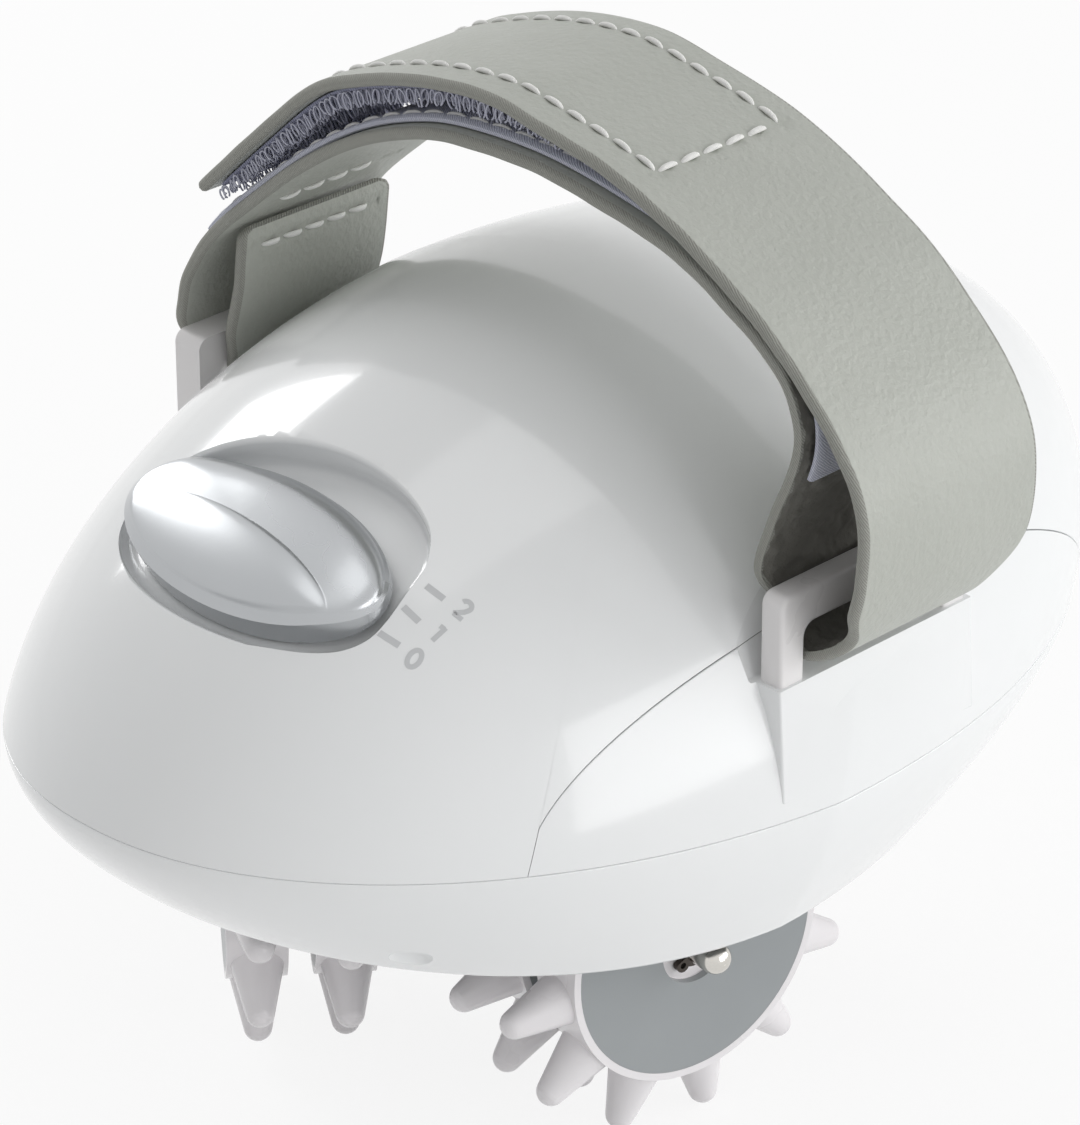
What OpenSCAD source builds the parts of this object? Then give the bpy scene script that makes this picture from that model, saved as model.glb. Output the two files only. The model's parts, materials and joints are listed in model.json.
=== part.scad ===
// Hand-held anti-cellulite massager.
// The nose points to -Y, the floor is at z = 0 and the Z axis is the axis of the roller head.
// An egg-shaped housing carries a turning head with six free nubbed rollers below,
// a swinging speed knob on the nose and an adjustable hand strap between two side loops.

/* [Body] */
// Half of the body's width at its widest section
half_width = 54; // [51:0.5:58]
// Length from the widest section to the tip of the nose
nose_len = 68; // [64:1:74]
// Length from the widest section to the end of the tail
tail_len = 80.4; // [76:0.4:88]
// Height of the top of the dome above the floor
dome_top = 97.9; // [96:0.1:102]
// Height of the seam between the shells at the widest section
seam_height = 50.5; // [49:0.5:52]
// Height of the bottom rim at the widest section
rim_height = 30.5; // [29.5:0.5:32]
// Backward lean of the dome's top
dome_lean = 15.75; // [12:0.25:18]
// Share of the width lost at the tip of the nose
nose_taper = 0.17; // [0.1:0.01:0.2]
// Share of the outline that is left at the bottom rim
rim_share = 0.855; // [0.855:0.005:0.88]
// Thickness of the housing walls
wall = 2.2; // [1.8:0.1:2.6]

/* [Side panels] */
// Y of the middle of the leaf-shaped side panels
panel_mid_y = 10.2; // [8:0.2:12]
// Half of the length of a side panel
panel_half_len = 49.8; // [46:0.2:54]
// Height of the panel's top above the seam
panel_rise = 23; // [21:0.5:24]
// Gap between the panel and the top shell
panel_gap = 0.3; // [0.2:0.05:0.5]

/* [Strap loops] */
// Y of the middle of the loops
loop_mid_y = 7.5; // [5:0.5:10]
// Clear length of the slot in a loop
slot_len = 24; // [22:0.5:26]
// Width of the legs of a loop, along the body
leg_w = 4; // [3.5:0.25:5]
// Thickness of a loop, across the body
loop_t = 3.4; // [3:0.1:3.6]
// Outer face of a loop, from the middle of the body
loop_face = 51.2; // [50.8:0.1:51.6]
// Height of the top of a loop above the seam
loop_rise = 28.2; // [27.6:0.1:29]
// Height of the bar of a loop
bar_h = 4.6; // [4:0.1:4.8]
// Depth to which the legs reach below the top of the loop
leg_len = 20.5; // [19:0.5:21]

/* [Strap] */
// Width of the strap over the hand
strap_w = 29.8; // [26:0.2:31]
// Width of the strap where it passes a loop
strap_neck_w = 23.2; // [20:0.2:23.4]
// Thickness of the strap
strap_t = 1.6; // [1.4:0.05:1.75]
// Thickness of the loop tape
loop_tape_t = 1.1; // [0.9:0.05:1.2]
// Thickness of the hook tape
hook_tape_t = 0.8; // [0.6:0.05:0.9]
// Width of the tapes
tape_w = 26; // [20:0.5:27]

/* [Speed knob] */
// Half of the length of the knob, across the nose
knob_half_len = 20.2; // [19:0.2:21]
// Half of the width of the knob, up the nose
knob_half_w = 9.9; // [9:0.1:10.4]
// Height of the knob's upright side wall
knob_wall_h = 3.3; // [3:0.1:3.6]
// Width of the bevel between the knob's wall and its top
knob_bevel = 1.1; // [0.8:0.1:1.3]
// Rise of the knob's domed top above the bevel
knob_dome_h = 1.7; // [1.2:0.1:2]
// Height of the leaf-shaped grip above the dome of the knob
knob_leaf_h = 1.5; // [1:0.1:1.8]
// Tilt of the knob's axis towards the nose
knob_tilt = 28; // [27:0.5:30]
// Angle between two speed steps
knob_step = 6.5; // [5:0.5:7]
// Rest angle of the knob, pointing at the zero mark
knob_rest = -1.5; // [-3:0.5:0]
// X of the knob's turning axis
knob_pivot_x = -12.5; // [-15:0.5:-10]
// Radius of the knob's spindle
spindle_r = 2.5; // [2:0.1:3]
// Play between the knob and the wall of its dish
dish_play = 1; // [0.8:0.1:1.4]
// Extra room in front of the knob, on the nose side of its dish
dish_front = 1.2; // [0.8:0.1:1.6]
// Depth of the dish's floor below the middle of the nose's surface
dish_depth = 4.9; // [4.7:0.1:5.2]

/* [Rollers] */
// Distance from a roller's axis to the tips of its nubs
tip_r = 26.1; // [25.6:0.1:26.2]
// Radius of a roller's rim
rim_r = 18; // [17:0.1:18.5]
// Width of a roller
roller_w = 7.6; // [7:0.1:8]
// Gap between the two rollers on one axle
roller_gap = 3.4; // [3:0.1:3.6]
// Distance from the head's axis to the middle of an outer roller
outer_rho = 33.2; // [33:0.1:33.6]
// Number of nubs on a roller
nub_count = 12; // [10:1:12]
// Radius of a nub at its root
nub_root_r = 3.6; // [3.2:0.1:3.7]
// Radius of a nub's round tip
nub_tip_r = 1.8; // [1.5:0.1:2]
// Width of the bare rim around a cover disc
rim_edge = 0.95; // [0.7:0.05:1.5]
// Thickness of a cover disc
disc_t = 1; // [0.8:0.1:1.2]
// Radius of the hole in a cover disc
disc_hole_r = 5; // [4.8:0.1:5.4]
// Radius of the axles
axle_r = 2; // [1.8:0.1:2.2]
// Distance from the outer face of a roller to the centre of the axle's ball end
ball_reach = 3.6; // [3:0.1:4]
// Radial play of a running fit
fit_play = 0.04; // [0.02:0.01:0.06]

/* [Head] */
// Radius of the head's hub
hub_r = 8.5; // [8:0.1:9]
// Radius of the arms that hold the axles
arm_r = 4.3; // [4:0.1:4.4]
// Radius of the output shaft
shaft_r = 3; // [2.8:0.1:3.2]
// Plan angle of the first arm
arm_turn = -9.3; // [-15:0.1:-5]
// Inner radius of the well that the rollers turn in
well_r = 44.2; // [44:0.1:44.4]
// Thickness of the well's wall
well_wall = 1.8; // [1.6:0.1:1.9]

/* [Drive] */
// Gear module
gear_m = 1; // [1:0.05:1.05]
// Teeth on the output gear
output_teeth = 48; // [46:1:50]
// Teeth on the small wheel of the idler
idler_small_teeth = 12; // [12:1:13]
// Teeth on the large wheel of the idler
idler_large_teeth = 36; // [34:1:36]
// Teeth on the motor pinion
pinion_teeth = 10; // [10:1:11]
// Face width of the gears
gear_w = 3.8; // [3.4:0.1:4]
// Plan angle of the idler's axis from the head's axis
idler_dir = 127; // [124:1:130]
// Plan angle of the motor's axis from the idler's axis
motor_dir = -15; // [-18:1:-12]
// Radius of the motor can
motor_r = 16.1; // [15:0.1:16.4]
// Length of the motor can
motor_len = 18.5; // [16:0.5:19]
// Radius of the motor shaft
motor_shaft_r = 1; // [0.9:0.05:1.15]
// Radius of the idler's pin
pin_r = 1.5; // [1.3:0.1:1.7]
// Thickness of the gear plate
plate_t = 2; // [1.6:0.1:2]

/* [Inlet and board] */
// Height of the power inlet above the seam
inlet_rise = 12.5; // [10:0.5:15]
// Radius of the inlet's bore
inlet_bore_r = 2.75; // [2.7:0.05:3]
// Radius of the inlet's contact pin
inlet_pin_r = 1.05; // [0.9:0.05:1.25]
// Depth of the inlet's bore
inlet_depth = 9.5; // [8:0.5:10]
// Thickness of the circuit board
board_t = 1.6; // [1.2:0.1:1.8]

/* [Fasteners] */
// Radius of the housing screws
screw_r = 1.5; // [1.3:0.1:1.6]
// Radius of the heads of the housing screws
screw_head_r = 2.8; // [2.5:0.1:3]
// Radius of the small screws of the tray and the gear plate
small_screw_r = 1.2; // [1:0.1:1.3]

/* [Hidden] */

white = [0.94, 0.94, 0.95];
silver = [0.74, 0.76, 0.79];
sage = [0.7, 0.71, 0.68];
disc_grey = [0.6, 0.62, 0.63];
steel = [0.78, 0.76, 0.72];
dark = [0.25, 0.26, 0.28];
board_green = [0.1, 0.35, 0.2];

round_fn = 48;
segs = 56;
cut = 1;

// Body surface
mid_y = -1;
nose_power = 2.19;
tail_power = 2.28;
seam_slope = -0.015;
seam_bow = 0.00045;
rim_bow = 0.0022;
rim_shift = -1.2;
rim_bulge = 1.6;
dome_rows = 11;
side_rows = 5;
floor_t = 2.4;

function spow(v, e) = sign(v) * pow(abs(v), e);

// One point of the body's plan outline at angle a, drawn in by the inset
function outline_y(a, inset) =
    let(s = sin(a))
    (s < 0 ? nose_len - inset : tail_len - inset) * spow(s, 2 / (s < 0 ? nose_power : tail_power));
function outline_x(a, inset) =
    let(s = sin(a), y = outline_y(a, inset))
    (half_width - inset) * spow(cos(a), 2 / (s < 0 ? nose_power : tail_power))
    * (1 + nose_taper * min(y, 0) / nose_len);
function seam_at(y) = seam_height + seam_slope * y + seam_bow * y * y;
function rim_at(y) = rim_height + rim_bow * y * y;
function side_share(t) = 1 - (1 - rim_share) * pow(t, rim_bulge);
function plan_angle(i) = -90 + 360 * i / segs;

// Ring of the dome at elevation angle b
function dome_ring(b, inset) = [for (i = [0:segs - 1])
    let(a = plan_angle(i), x = outline_x(a, inset), y = outline_y(a, inset), base = seam_at(y))
    [x * cos(b), mid_y + y * cos(b) + dome_lean * sin(b), base + (dome_top - inset - base) * sin(b)]];
// Ring of the lower side: t is 0 at the seam and 1 at the rim, lift raises the ring
function side_ring(t, inset, lift) = [for (i = [0:segs - 1])
    let(a = plan_angle(i), x = outline_x(a, inset), y = outline_y(a, inset))
    [x * side_share(t), mid_y + y * side_share(t) + rim_shift * t,
     seam_at(y) + (rim_at(y) - seam_at(y)) * t + lift]];
function raised(ring, h) = [for (p = ring) [p[0], p[1], p[2] + h]];

// Closed solid through rings of equal count, listed from the bottom up.
// Both ends are closed by strips between the left and right points of one ring.
module loft(rings) {
    n = len(rings[0]);
    last = (len(rings) - 1) * n;
    points = [for (r = rings) each r];
    sides = [for (k = [0:len(rings) - 2], i = [0:n - 1])
        [k * n + i, (k + 1) * n + i, (k + 1) * n + (i + 1) % n, k * n + (i + 1) % n]];
    bottom = [for (i = [0:n / 2 - 1])
        i == 0 ? [0, 1, n - 1] : i == n / 2 - 1 ? [i, i + 1, n - i] : [i, i + 1, n - i - 1, n - i]];
    top = [for (f = bottom) [for (j = [len(f) - 1:-1:0]) last + f[j]]];
    polyhedron(points = points, faces = concat(sides, bottom, top), convexity = 4);
}

module dome_solid() {
    loft([for (k = [0:dome_rows]) dome_ring(k == dome_rows ? 88 : 90 * k / dome_rows, 0)]);
}
module dome_hollow() {
    loft(concat([raised(dome_ring(0, wall), -cut)],
        [for (k = [0:dome_rows - 2]) dome_ring(k == dome_rows - 2 ? 87 : 90 * k / (dome_rows - 2), wall)]));
}
module side_solid() {
    loft([for (k = [side_rows:-1:0]) side_ring(k / side_rows, 0, 0)]);
}
module side_hollow() {
    deep = 1 - floor_t / (seam_height - rim_height);
    loft(concat([for (k = [4:-1:0]) side_ring(deep * k / 4, wall, 0)],
        [raised(side_ring(0, wall, 0), cut)]));
}

// Places its children on both sides of the body
module both_sides() {
    children();
    mirror([1, 0, 0]) children();
}

// Side panel outline, seen from the side, with its bottom left open below the seam
panel_power = 1.8;
panel_inner_x = 20;
panel_pts = 40;
module panel_prism(grow) {
    low = seam_height - 8;
    arc = [for (i = [0:panel_pts])
        let(a = 180 * i / panel_pts)
        [panel_mid_y + (panel_half_len + grow) * spow(cos(a), 2 / panel_power),
         seam_height + 1.5 + (panel_rise - 1.5 + grow) * spow(sin(a), 2 / panel_power)]];
    translate([panel_inner_x, 0, 0]) rotate([90, 0, 90])
        linear_extrude(half_width)
            polygon(concat([[panel_mid_y - panel_half_len - grow, low]],
                [for (i = [panel_pts:-1:0]) arc[i]],
                [[panel_mid_y + panel_half_len + grow, low]]));
}

// Strap loops
loop_top = seam_height + loop_rise;
bar_low = loop_top - bar_h;
loop_len = slot_len + 2 * leg_w;
loop_x = loop_face - loop_t;
leg_foot = loop_top - leg_len;
socket_wall = 1.6;
leg_ys = [loop_mid_y - slot_len / 2 - leg_w / 2, loop_mid_y + slot_len / 2 + leg_w / 2];
loop_round = 1.6;

module loop_outline() {
    w = loop_len / 2;
    difference() {
        union() {
            translate([-w, leg_foot]) square([loop_len, leg_len - loop_round]);
            translate([-w + loop_round, leg_foot]) square([loop_len - 2 * loop_round, leg_len]);
            for (s = [-1, 1])
                translate([s * (w - loop_round), loop_top - loop_round]) circle(r = loop_round, $fn = round_fn);
        }
        translate([-slot_len / 2, leg_foot - cut]) square([slot_len, leg_len - bar_h - loop_round + cut]);
        translate([-slot_len / 2 + loop_round, leg_foot - cut])
            square([slot_len - 2 * loop_round, leg_len - bar_h + cut]);
        for (s = [-1, 1])
            translate([s * (slot_len / 2 - loop_round), bar_low - loop_round])
                circle(r = loop_round, $fn = round_fn);
    }
}
module strap_loop() {
    color(white)
        translate([loop_x, loop_mid_y, 0]) rotate([90, 0, 90])
            linear_extrude(loop_t) loop_outline();
}
module strap_loop_left() { mirror([1, 0, 0]) strap_loop(); }
module strap_loop_right() { strap_loop(); }

// Pocket in the housing below the bar, where the strap passes: a flat floor and a slanted back
pocket_floor = bar_low - 6.8;
pocket_play = 1.5;
module pocket(grow) {
    translate([0, loop_mid_y + loop_len / 2 + pocket_play + grow, 0]) rotate([90, 0, 0])
        linear_extrude(loop_len + 2 * pocket_play + 2 * grow)
            polygon([[loop_x - 0.8 - grow, pocket_floor - grow], [half_width + 6, pocket_floor - grow],
                [half_width + 6, loop_top + 6], [loop_x - 5.2 - grow, loop_top + 2],
                [loop_x - 4.3 - grow, bar_low + 2]]);
}

// Blocks inside a panel that take the legs of the loop
module sockets() {
    for (y = leg_ys)
        translate([loop_x - socket_wall, y - leg_w / 2 - socket_wall, leg_foot - socket_wall])
            cube([loop_t + 2 * socket_wall + 4, leg_w + 2 * socket_wall, leg_len]);
}
module leg_holes() {
    for (y = leg_ys)
        translate([loop_x, y - leg_w / 2, leg_foot]) cube([loop_t, leg_w, leg_len]);
}
// Ledge below the pocket: its upright face stands out of the panel and runs out lower down
ledge_drop = 14.3;
ledge_face = loop_face + 0.4;
ledge_edge = 0.6;
module ledge() {
    translate([0, loop_mid_y + loop_len / 2 + ledge_edge, 0]) rotate([90, 0, 0])
        linear_extrude(loop_len + 2 * ledge_edge)
            polygon([[loop_x - socket_wall, pocket_floor], [ledge_face, pocket_floor],
                [ledge_face + 1.05, pocket_floor - ledge_drop], [ledge_face - 2, pocket_floor - ledge_drop],
                [loop_x - socket_wall, leg_foot - socket_wall]]);
}
module panel_right_solid() {
    difference() {
        union() {
            intersection() {
                difference() {
                    dome_solid();
                    difference() {
                        dome_hollow();
                        sockets();
                        pocket(wall);
                    }
                }
                panel_prism(0);
            }
            ledge();
        }
        pocket(0);
        leg_holes();
    }
}
module side_panel_right() { color(white) panel_right_solid(); }
module side_panel_left() { color(white) mirror([1, 0, 0]) panel_right_solid(); }

// Frame of the knob: origin on the nose's middle line at a set elevation of the dome's arc,
// Z out along the knob's axis
knob_spot = 39.8;
nose_base = seam_at(-nose_len);
knob_y = mid_y - nose_len * cos(knob_spot) + dome_lean * sin(knob_spot);
knob_z = nose_base + (dome_top - nose_base) * sin(knob_spot);
knob_floor = -dish_depth;
knob_under = knob_floor + 0.3;
knob_reach = 12.95;
module knob_frame() {
    translate([0, knob_y, knob_z]) rotate([knob_tilt, 0, 0]) children();
}
module knob_turn(a) {
    translate([knob_pivot_x, 0, 0]) rotate([0, 0, a]) children();
}
function oval(len_half, w_half, z) = [for (i = [0:segs - 1])
    let(a = plan_angle(i)) [len_half * cos(a), w_half * sin(a), z]];
module knob_outline(grow) {
    polygon([for (p = oval(knob_half_len + grow, knob_half_w + grow, 0)) [p[0], p[1]]]);
}
knob_rows = 7;
bevel_rise = 0.9;
knob_top = knob_wall_h + bevel_rise;
// Leaf-shaped grip, raised on the nose side of the knob's top
leaf_mid = [-0.2, -3.6];
leaf_half = [19.2, 5.5];
leaf_rows = 6;
module knob_leaf() {
    intersection() {
        translate([leaf_mid[0], leaf_mid[1], knob_wall_h])
            loft([for (k = [0:leaf_rows - 1])
                let(f = 90 * k / leaf_rows)
                oval(leaf_half[0] * cos(f), leaf_half[1] * cos(f),
                    (bevel_rise + knob_dome_h + knob_leaf_h) * sin(f) - (k == 0 ? 1 : 0))]);
        linear_extrude(2 * knob_top) knob_outline(-knob_bevel);
    }
}
module knob_body() {
    loft(concat([oval(knob_half_len, knob_half_w, 0), oval(knob_half_len, knob_half_w, knob_wall_h)],
        [for (k = [0:knob_rows - 1])
            let(f = 90 * k / knob_rows)
            oval((knob_half_len - knob_bevel) * cos(f), (knob_half_w - knob_bevel) * cos(f),
                knob_top + knob_dome_h * sin(f))]));
}
module speed_knob() {
    color(silver) knob_frame() knob_turn(knob_rest) translate([knob_reach, 0, knob_under])
        difference() {
            union() {
                knob_body();
                knob_leaf();
            }
            translate([-knob_reach, 0, -cut]) cylinder(r = spindle_r, h = knob_lift + cut, $fn = round_fn);
        }
}
knob_lift = 3;
switch_depth = 15;
module knob_spindle() {
    color(steel) knob_frame() knob_turn(0)
        translate([0, 0, -switch_depth + 2])
            cylinder(r = spindle_r, h = switch_depth - 2 + knob_under + knob_lift, $fn = round_fn);
}
// Plan of the dish: the room that the knob sweeps over its three positions, with its play
module dish_outline() {
    hull() {
        knob_turn(knob_rest) translate([knob_reach, 0]) knob_outline(dish_play);
        knob_turn(knob_rest) translate([knob_reach, -dish_front]) knob_outline(dish_play);
        knob_turn(knob_rest + 2 * knob_step) translate([knob_reach, 0]) knob_outline(dish_play);
    }
}
module dish(floor_z, grow) {
    knob_frame() translate([0, 0, floor_z]) linear_extrude(20) offset(delta = grow) dish_outline();
}
spindle_boss_r = 5;
switch_top = -7.5;
module spindle_boss(extra) {
    knob_frame() knob_turn(0) translate([0, 0, switch_top])
        cylinder(r = spindle_boss_r, h = -switch_top - 2 + extra, $fn = round_fn);
}
module spindle_hole() {
    knob_frame() knob_turn(0) translate([0, 0, -switch_depth])
        cylinder(r = spindle_r + fit_play, h = switch_depth + 5, $fn = round_fn);
}

// Switch and board hang below the nose, square to the knob's axis
switch_w = 13;
board_len = 34;
board_w = 22;
board_top = -switch_depth + 0.5;
board_post_r = 2.6;
board_posts = [[13, 7], [13, -7]];
module speed_switch() {
    color(dark) difference() {
        knob_frame() knob_turn(0) translate([-switch_w / 2, -switch_w / 2, board_top])
            cube([switch_w, switch_w, switch_top - board_top]);
        spindle_hole();
    }
}
module circuit_board() {
    color(board_green) knob_frame() difference() {
        translate([-board_len / 2 - 2, -board_w / 2, board_top - board_t])
            cube([board_len, board_w, board_t]);
        for (p = board_posts)
            translate([p[0], p[1], board_top - board_t - cut])
                cylinder(r = small_screw_r, h = board_t + 2 * cut, $fn = round_fn);
    }
}
module board_posts_solid() {
    knob_frame() for (p = board_posts)
        translate([p[0], p[1], board_top]) cylinder(r = board_post_r, h = 14, $fn = round_fn);
}
module board_screw_holes() {
    knob_frame() for (p = board_posts)
        translate([p[0], p[1], board_top - cut]) cylinder(r = small_screw_r, h = 6 + cut, $fn = round_fn);
}
module board_screws() {
    color(steel) knob_frame() for (p = board_posts)
        translate([p[0], p[1], board_top - board_t]) {
            cylinder(r = small_screw_r, h = board_t + 6, $fn = round_fn);
            translate([0, 0, -1.4]) cylinder(r = 2 * small_screw_r, h = 1.4, $fn = round_fn);
        }
}

// Power inlet in the tail
inlet_z = seam_height + inlet_rise;
inlet_y = 79.9;
inlet_nose_r = inlet_bore_r + 1.4;
inlet_body = [10, 13, 10];
inlet_lip = 2.4;
inlet_root_r = inlet_pin_r + 0.5;
inlet_root_len = 2;
module power_inlet() {
    color(dark) translate([0, inlet_y, inlet_z]) difference() {
        union() {
            translate([-inlet_body[0] / 2, -inlet_lip - inlet_body[1], -inlet_body[2] / 2]) cube(inlet_body);
            rotate([90, 0, 0]) cylinder(r = inlet_nose_r, h = inlet_lip + cut, $fn = round_fn);
        }
        translate([0, cut, 0]) rotate([90, 0, 0])
            cylinder(r = inlet_bore_r, h = inlet_depth + cut, $fn = round_fn);
        translate([0, -inlet_depth + cut, 0]) rotate([90, 0, 0])
            cylinder(r = inlet_root_r, h = inlet_root_len + cut, $fn = round_fn);
    }
}
module inlet_pin() {
    color(steel) translate([0, inlet_y, inlet_z]) rotate([90, 0, 0]) {
        translate([0, 0, 1]) cylinder(r = inlet_pin_r, h = inlet_depth - 1, $fn = round_fn);
        translate([0, 0, inlet_depth]) cylinder(r = inlet_root_r, h = inlet_root_len, $fn = round_fn);
    }
}
module inlet_hole() {
    translate([0, inlet_y + 10, inlet_z]) rotate([90, 0, 0])
        cylinder(r = inlet_nose_r, h = 20, $fn = round_fn);
}
// Cradle inside the tail that the inlet's body sits in
module inlet_cradle() {
    side = 2;
    translate([-inlet_body[0] / 2 - side, inlet_y - inlet_lip - inlet_body[1],
               inlet_z - inlet_body[2] / 2 - side])
        cube([inlet_body[0] + 2 * side, inlet_body[1] + 6, inlet_body[2] + 2 * side]);
}
module inlet_room() {
    translate([-inlet_body[0] / 2, inlet_y - inlet_lip - inlet_body[1] - cut, inlet_z - inlet_body[2] / 2])
        cube([inlet_body[0], inlet_body[1] + cut, inlet_body[2]]);
}

// Screws that hold the shells together, two in the nose and two in the tail
screw_spots = [[9, -well_r - 8.8], [14, well_r + 12.8]];
post_r = 3.6;
post_seam = seam_height + 3;
module shell_posts() {
    both_sides() for (p = screw_spots)
        translate([p[0], p[1], post_seam]) cylinder(r = post_r, h = 50, $fn = round_fn);
}
screw_top = post_seam + 10;
screw_seat = 44;
module housing_screws() {
    color(steel) both_sides() for (p = screw_spots)
        translate([p[0], p[1], screw_seat]) {
            cylinder(r = screw_r, h = screw_top - screw_seat, $fn = round_fn);
            translate([0, 0, -1.8]) cylinder(r = screw_head_r, h = 1.8, $fn = round_fn);
        }
}
module screw_holes() {
    both_sides() for (p = screw_spots)
        translate([p[0], p[1], 0]) {
            cylinder(r = screw_r, h = screw_top, $fn = round_fn);
            cylinder(r = screw_head_r + 0.3, h = screw_seat, $fn = round_fn);
        }
}
module base_posts() {
    both_sides() for (p = screw_spots)
        translate([p[0], p[1], 34]) cylinder(r = post_r + 0.8, h = post_seam - 34, $fn = round_fn);
}

module top_shell() {
    color(white) difference() {
        dome_solid();
        difference() {
            dome_hollow();
            shell_posts();
            dish(knob_floor - wall, wall);
            spindle_boss(0);
            board_posts_solid();
            inlet_cradle();
            both_sides() pocket(wall);
        }
        both_sides() panel_prism(panel_gap);
        both_sides() pocket(0);
        dish(knob_floor, 0);
        spindle_hole();
        board_screw_holes();
        inlet_hole();
        inlet_room();
        translate([0, 0, 0]) screw_holes();
    }
}

// Oval notch low on the nose's right side
notch_at = [31, -48, 39.5];
notch_turn = -42;
module notch() {
    translate(notch_at) rotate([0, 0, notch_turn]) rotate([0, 90, 0])
        translate([0, 0, 0]) hull() {
            translate([0, -1.6, -1.2]) cylinder(r = 1.5, h = 6, $fn = 32);
            translate([0, 1.6, -1.2]) cylinder(r = 1.5, h = 6, $fn = 32);
        }
}

// Well, tray and head levels
// Turn of each roller at rest. The head stands on the nub that is nearest to straight down.
roller_turns = [10, 15, 15, 15, 25, 21];
lowest_nub = min([for (t = roller_turns) min(t, 360 / nub_count - t)]);
axle_z = (tip_r - nub_tip_r) * cos(lowest_nub) + nub_tip_r;
ceiling_z = axle_z + tip_r + 1.3;
tray_t = 2;
tray_top = ceiling_z + tray_t;
tray_foot = 42;
tab_spots = [[17, -well_r - 3.3], [17, well_r + 4.3]];
tab_r = 4;
tab_t = 2.5;

module base_shell() {
    color(white) difference() {
        union() {
            difference() {
                side_solid();
                side_hollow();
            }
            intersection() {
                side_solid();
                union() {
                    cylinder(r = well_r + well_wall, h = tray_foot, $fn = 96);
                    base_posts();
                    both_sides() for (p = tab_spots)
                        translate([p[0], p[1], 34]) cylinder(r = tab_r, h = tray_foot - 34, $fn = round_fn);
                }
            }
            intersection() {
                translate([0, 0, seam_height - 6]) base_posts();
                translate([-50, -80, seam_height - 4]) cube([100, 160, post_seam - seam_height + 4]);
            }
        }
        translate([0, 0, -cut]) cylinder(r = well_r, h = 60, $fn = 96);
        screw_holes();
        both_sides() for (p = tab_spots)
            translate([p[0], p[1], tray_foot - 3]) cylinder(r = small_screw_r, h = 4, $fn = round_fn);
        notch();
    }
}

// Positions of the gear train
idler_dist = gear_m * (output_teeth + idler_small_teeth) / 2;
motor_dist = gear_m * (idler_large_teeth + pinion_teeth) / 2;
idler_xy = [idler_dist * cos(idler_dir), idler_dist * sin(idler_dir)];
motor_xy = idler_xy + [motor_dist * cos(motor_dir), motor_dist * sin(motor_dir)];
gear_low = tray_top + 1;
level_gap = 0.7;
gear_high = gear_low + gear_w + level_gap;
plate_z = gear_high + gear_w + 1.2;
pillar_spots = [[27, 14], [8, 41], [-33, -3]];
pillar_r = 3;
bush_r = 6;
bush_flange_t = 0.7;

module well_tray() {
    color(white) difference() {
        union() {
            translate([0, 0, tray_foot]) cylinder(r = well_r + well_wall, h = tray_top - tray_foot, $fn = 96);
            both_sides() for (p = tab_spots)
                translate([0, 0, tray_foot]) {
                    translate([p[0], p[1], 0]) cylinder(r = tab_r, h = tab_t, $fn = round_fn);
                    translate([p[0] - tab_r, min(p[1], p[1] - sign(p[1]) * 10), 0]) cube([2 * tab_r, 10, tab_t]);
                }
            for (p = pillar_spots)
                translate([p[0], p[1], tray_top - 0.5])
                    cylinder(r = pillar_r, h = plate_z - tray_top + 0.5, $fn = round_fn);
        }
        translate([0, 0, tray_foot - cut]) cylinder(r = well_r, h = ceiling_z - tray_foot + cut, $fn = 96);
        translate([0, 0, ceiling_z - cut]) cylinder(r = bush_r, h = tray_t + 2 * cut, $fn = round_fn);
        translate([idler_xy[0], idler_xy[1], ceiling_z - cut])
            cylinder(r = pin_r, h = tray_t + 2 * cut, $fn = round_fn);
        both_sides() for (p = tab_spots)
            translate([p[0], p[1], tray_foot - cut])
                cylinder(r = small_screw_r, h = tab_t + 2 * cut, $fn = round_fn);
        for (p = pillar_spots)
            translate([p[0], p[1], plate_z - 7]) cylinder(r = small_screw_r, h = 8, $fn = round_fn);
    }
}
module tray_screws() {
    color(steel) both_sides() for (p = tab_spots)
        translate([p[0], p[1], tray_foot - 3]) {
            cylinder(r = small_screw_r, h = 3 + tab_t, $fn = round_fn);
            translate([0, 0, 3 + tab_t]) cylinder(r = 2 * small_screw_r, h = 1.4, $fn = round_fn);
        }
}
module output_bush() {
    color([0.72, 0.6, 0.35]) difference() {
        union() {
            translate([0, 0, ceiling_z - bush_flange_t])
                cylinder(r = bush_r, h = tray_t + 2 * bush_flange_t, $fn = round_fn);
            translate([0, 0, ceiling_z - bush_flange_t])
                cylinder(r = bush_r + 3, h = bush_flange_t, $fn = round_fn);
        }
        translate([0, 0, ceiling_z - 2]) cylinder(r = shaft_r + fit_play, h = 8, $fn = round_fn);
    }
}
module idler_pin() {
    color(steel) translate([idler_xy[0], idler_xy[1], ceiling_z])
        cylinder(r = pin_r, h = plate_z + plate_t - ceiling_z, $fn = round_fn);
}
module gear_plate() {
    corners = [for (p = pillar_spots) p];
    color(steel) translate([0, 0, plate_z]) difference() {
        union() {
            linear_extrude(plate_t) polygon([corners[0], corners[1], idler_xy + [-5, 6], corners[2], [4, -2]]);
            for (p = pillar_spots)
                translate([p[0], p[1], 0]) cylinder(r = pillar_r + 1.5, h = plate_t, $fn = round_fn);
            translate([motor_xy[0], motor_xy[1], 0]) cylinder(r = motor_r, h = plate_t, $fn = 64);
        }
        for (p = pillar_spots)
            translate([p[0], p[1], -cut]) cylinder(r = small_screw_r, h = plate_t + 2 * cut, $fn = round_fn);
        translate([idler_xy[0], idler_xy[1], -cut]) cylinder(r = pin_r, h = plate_t + 2 * cut, $fn = round_fn);
        translate([motor_xy[0], motor_xy[1], -cut]) cylinder(r = 3.5, h = plate_t + 2 * cut, $fn = round_fn);
    }
}
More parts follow.
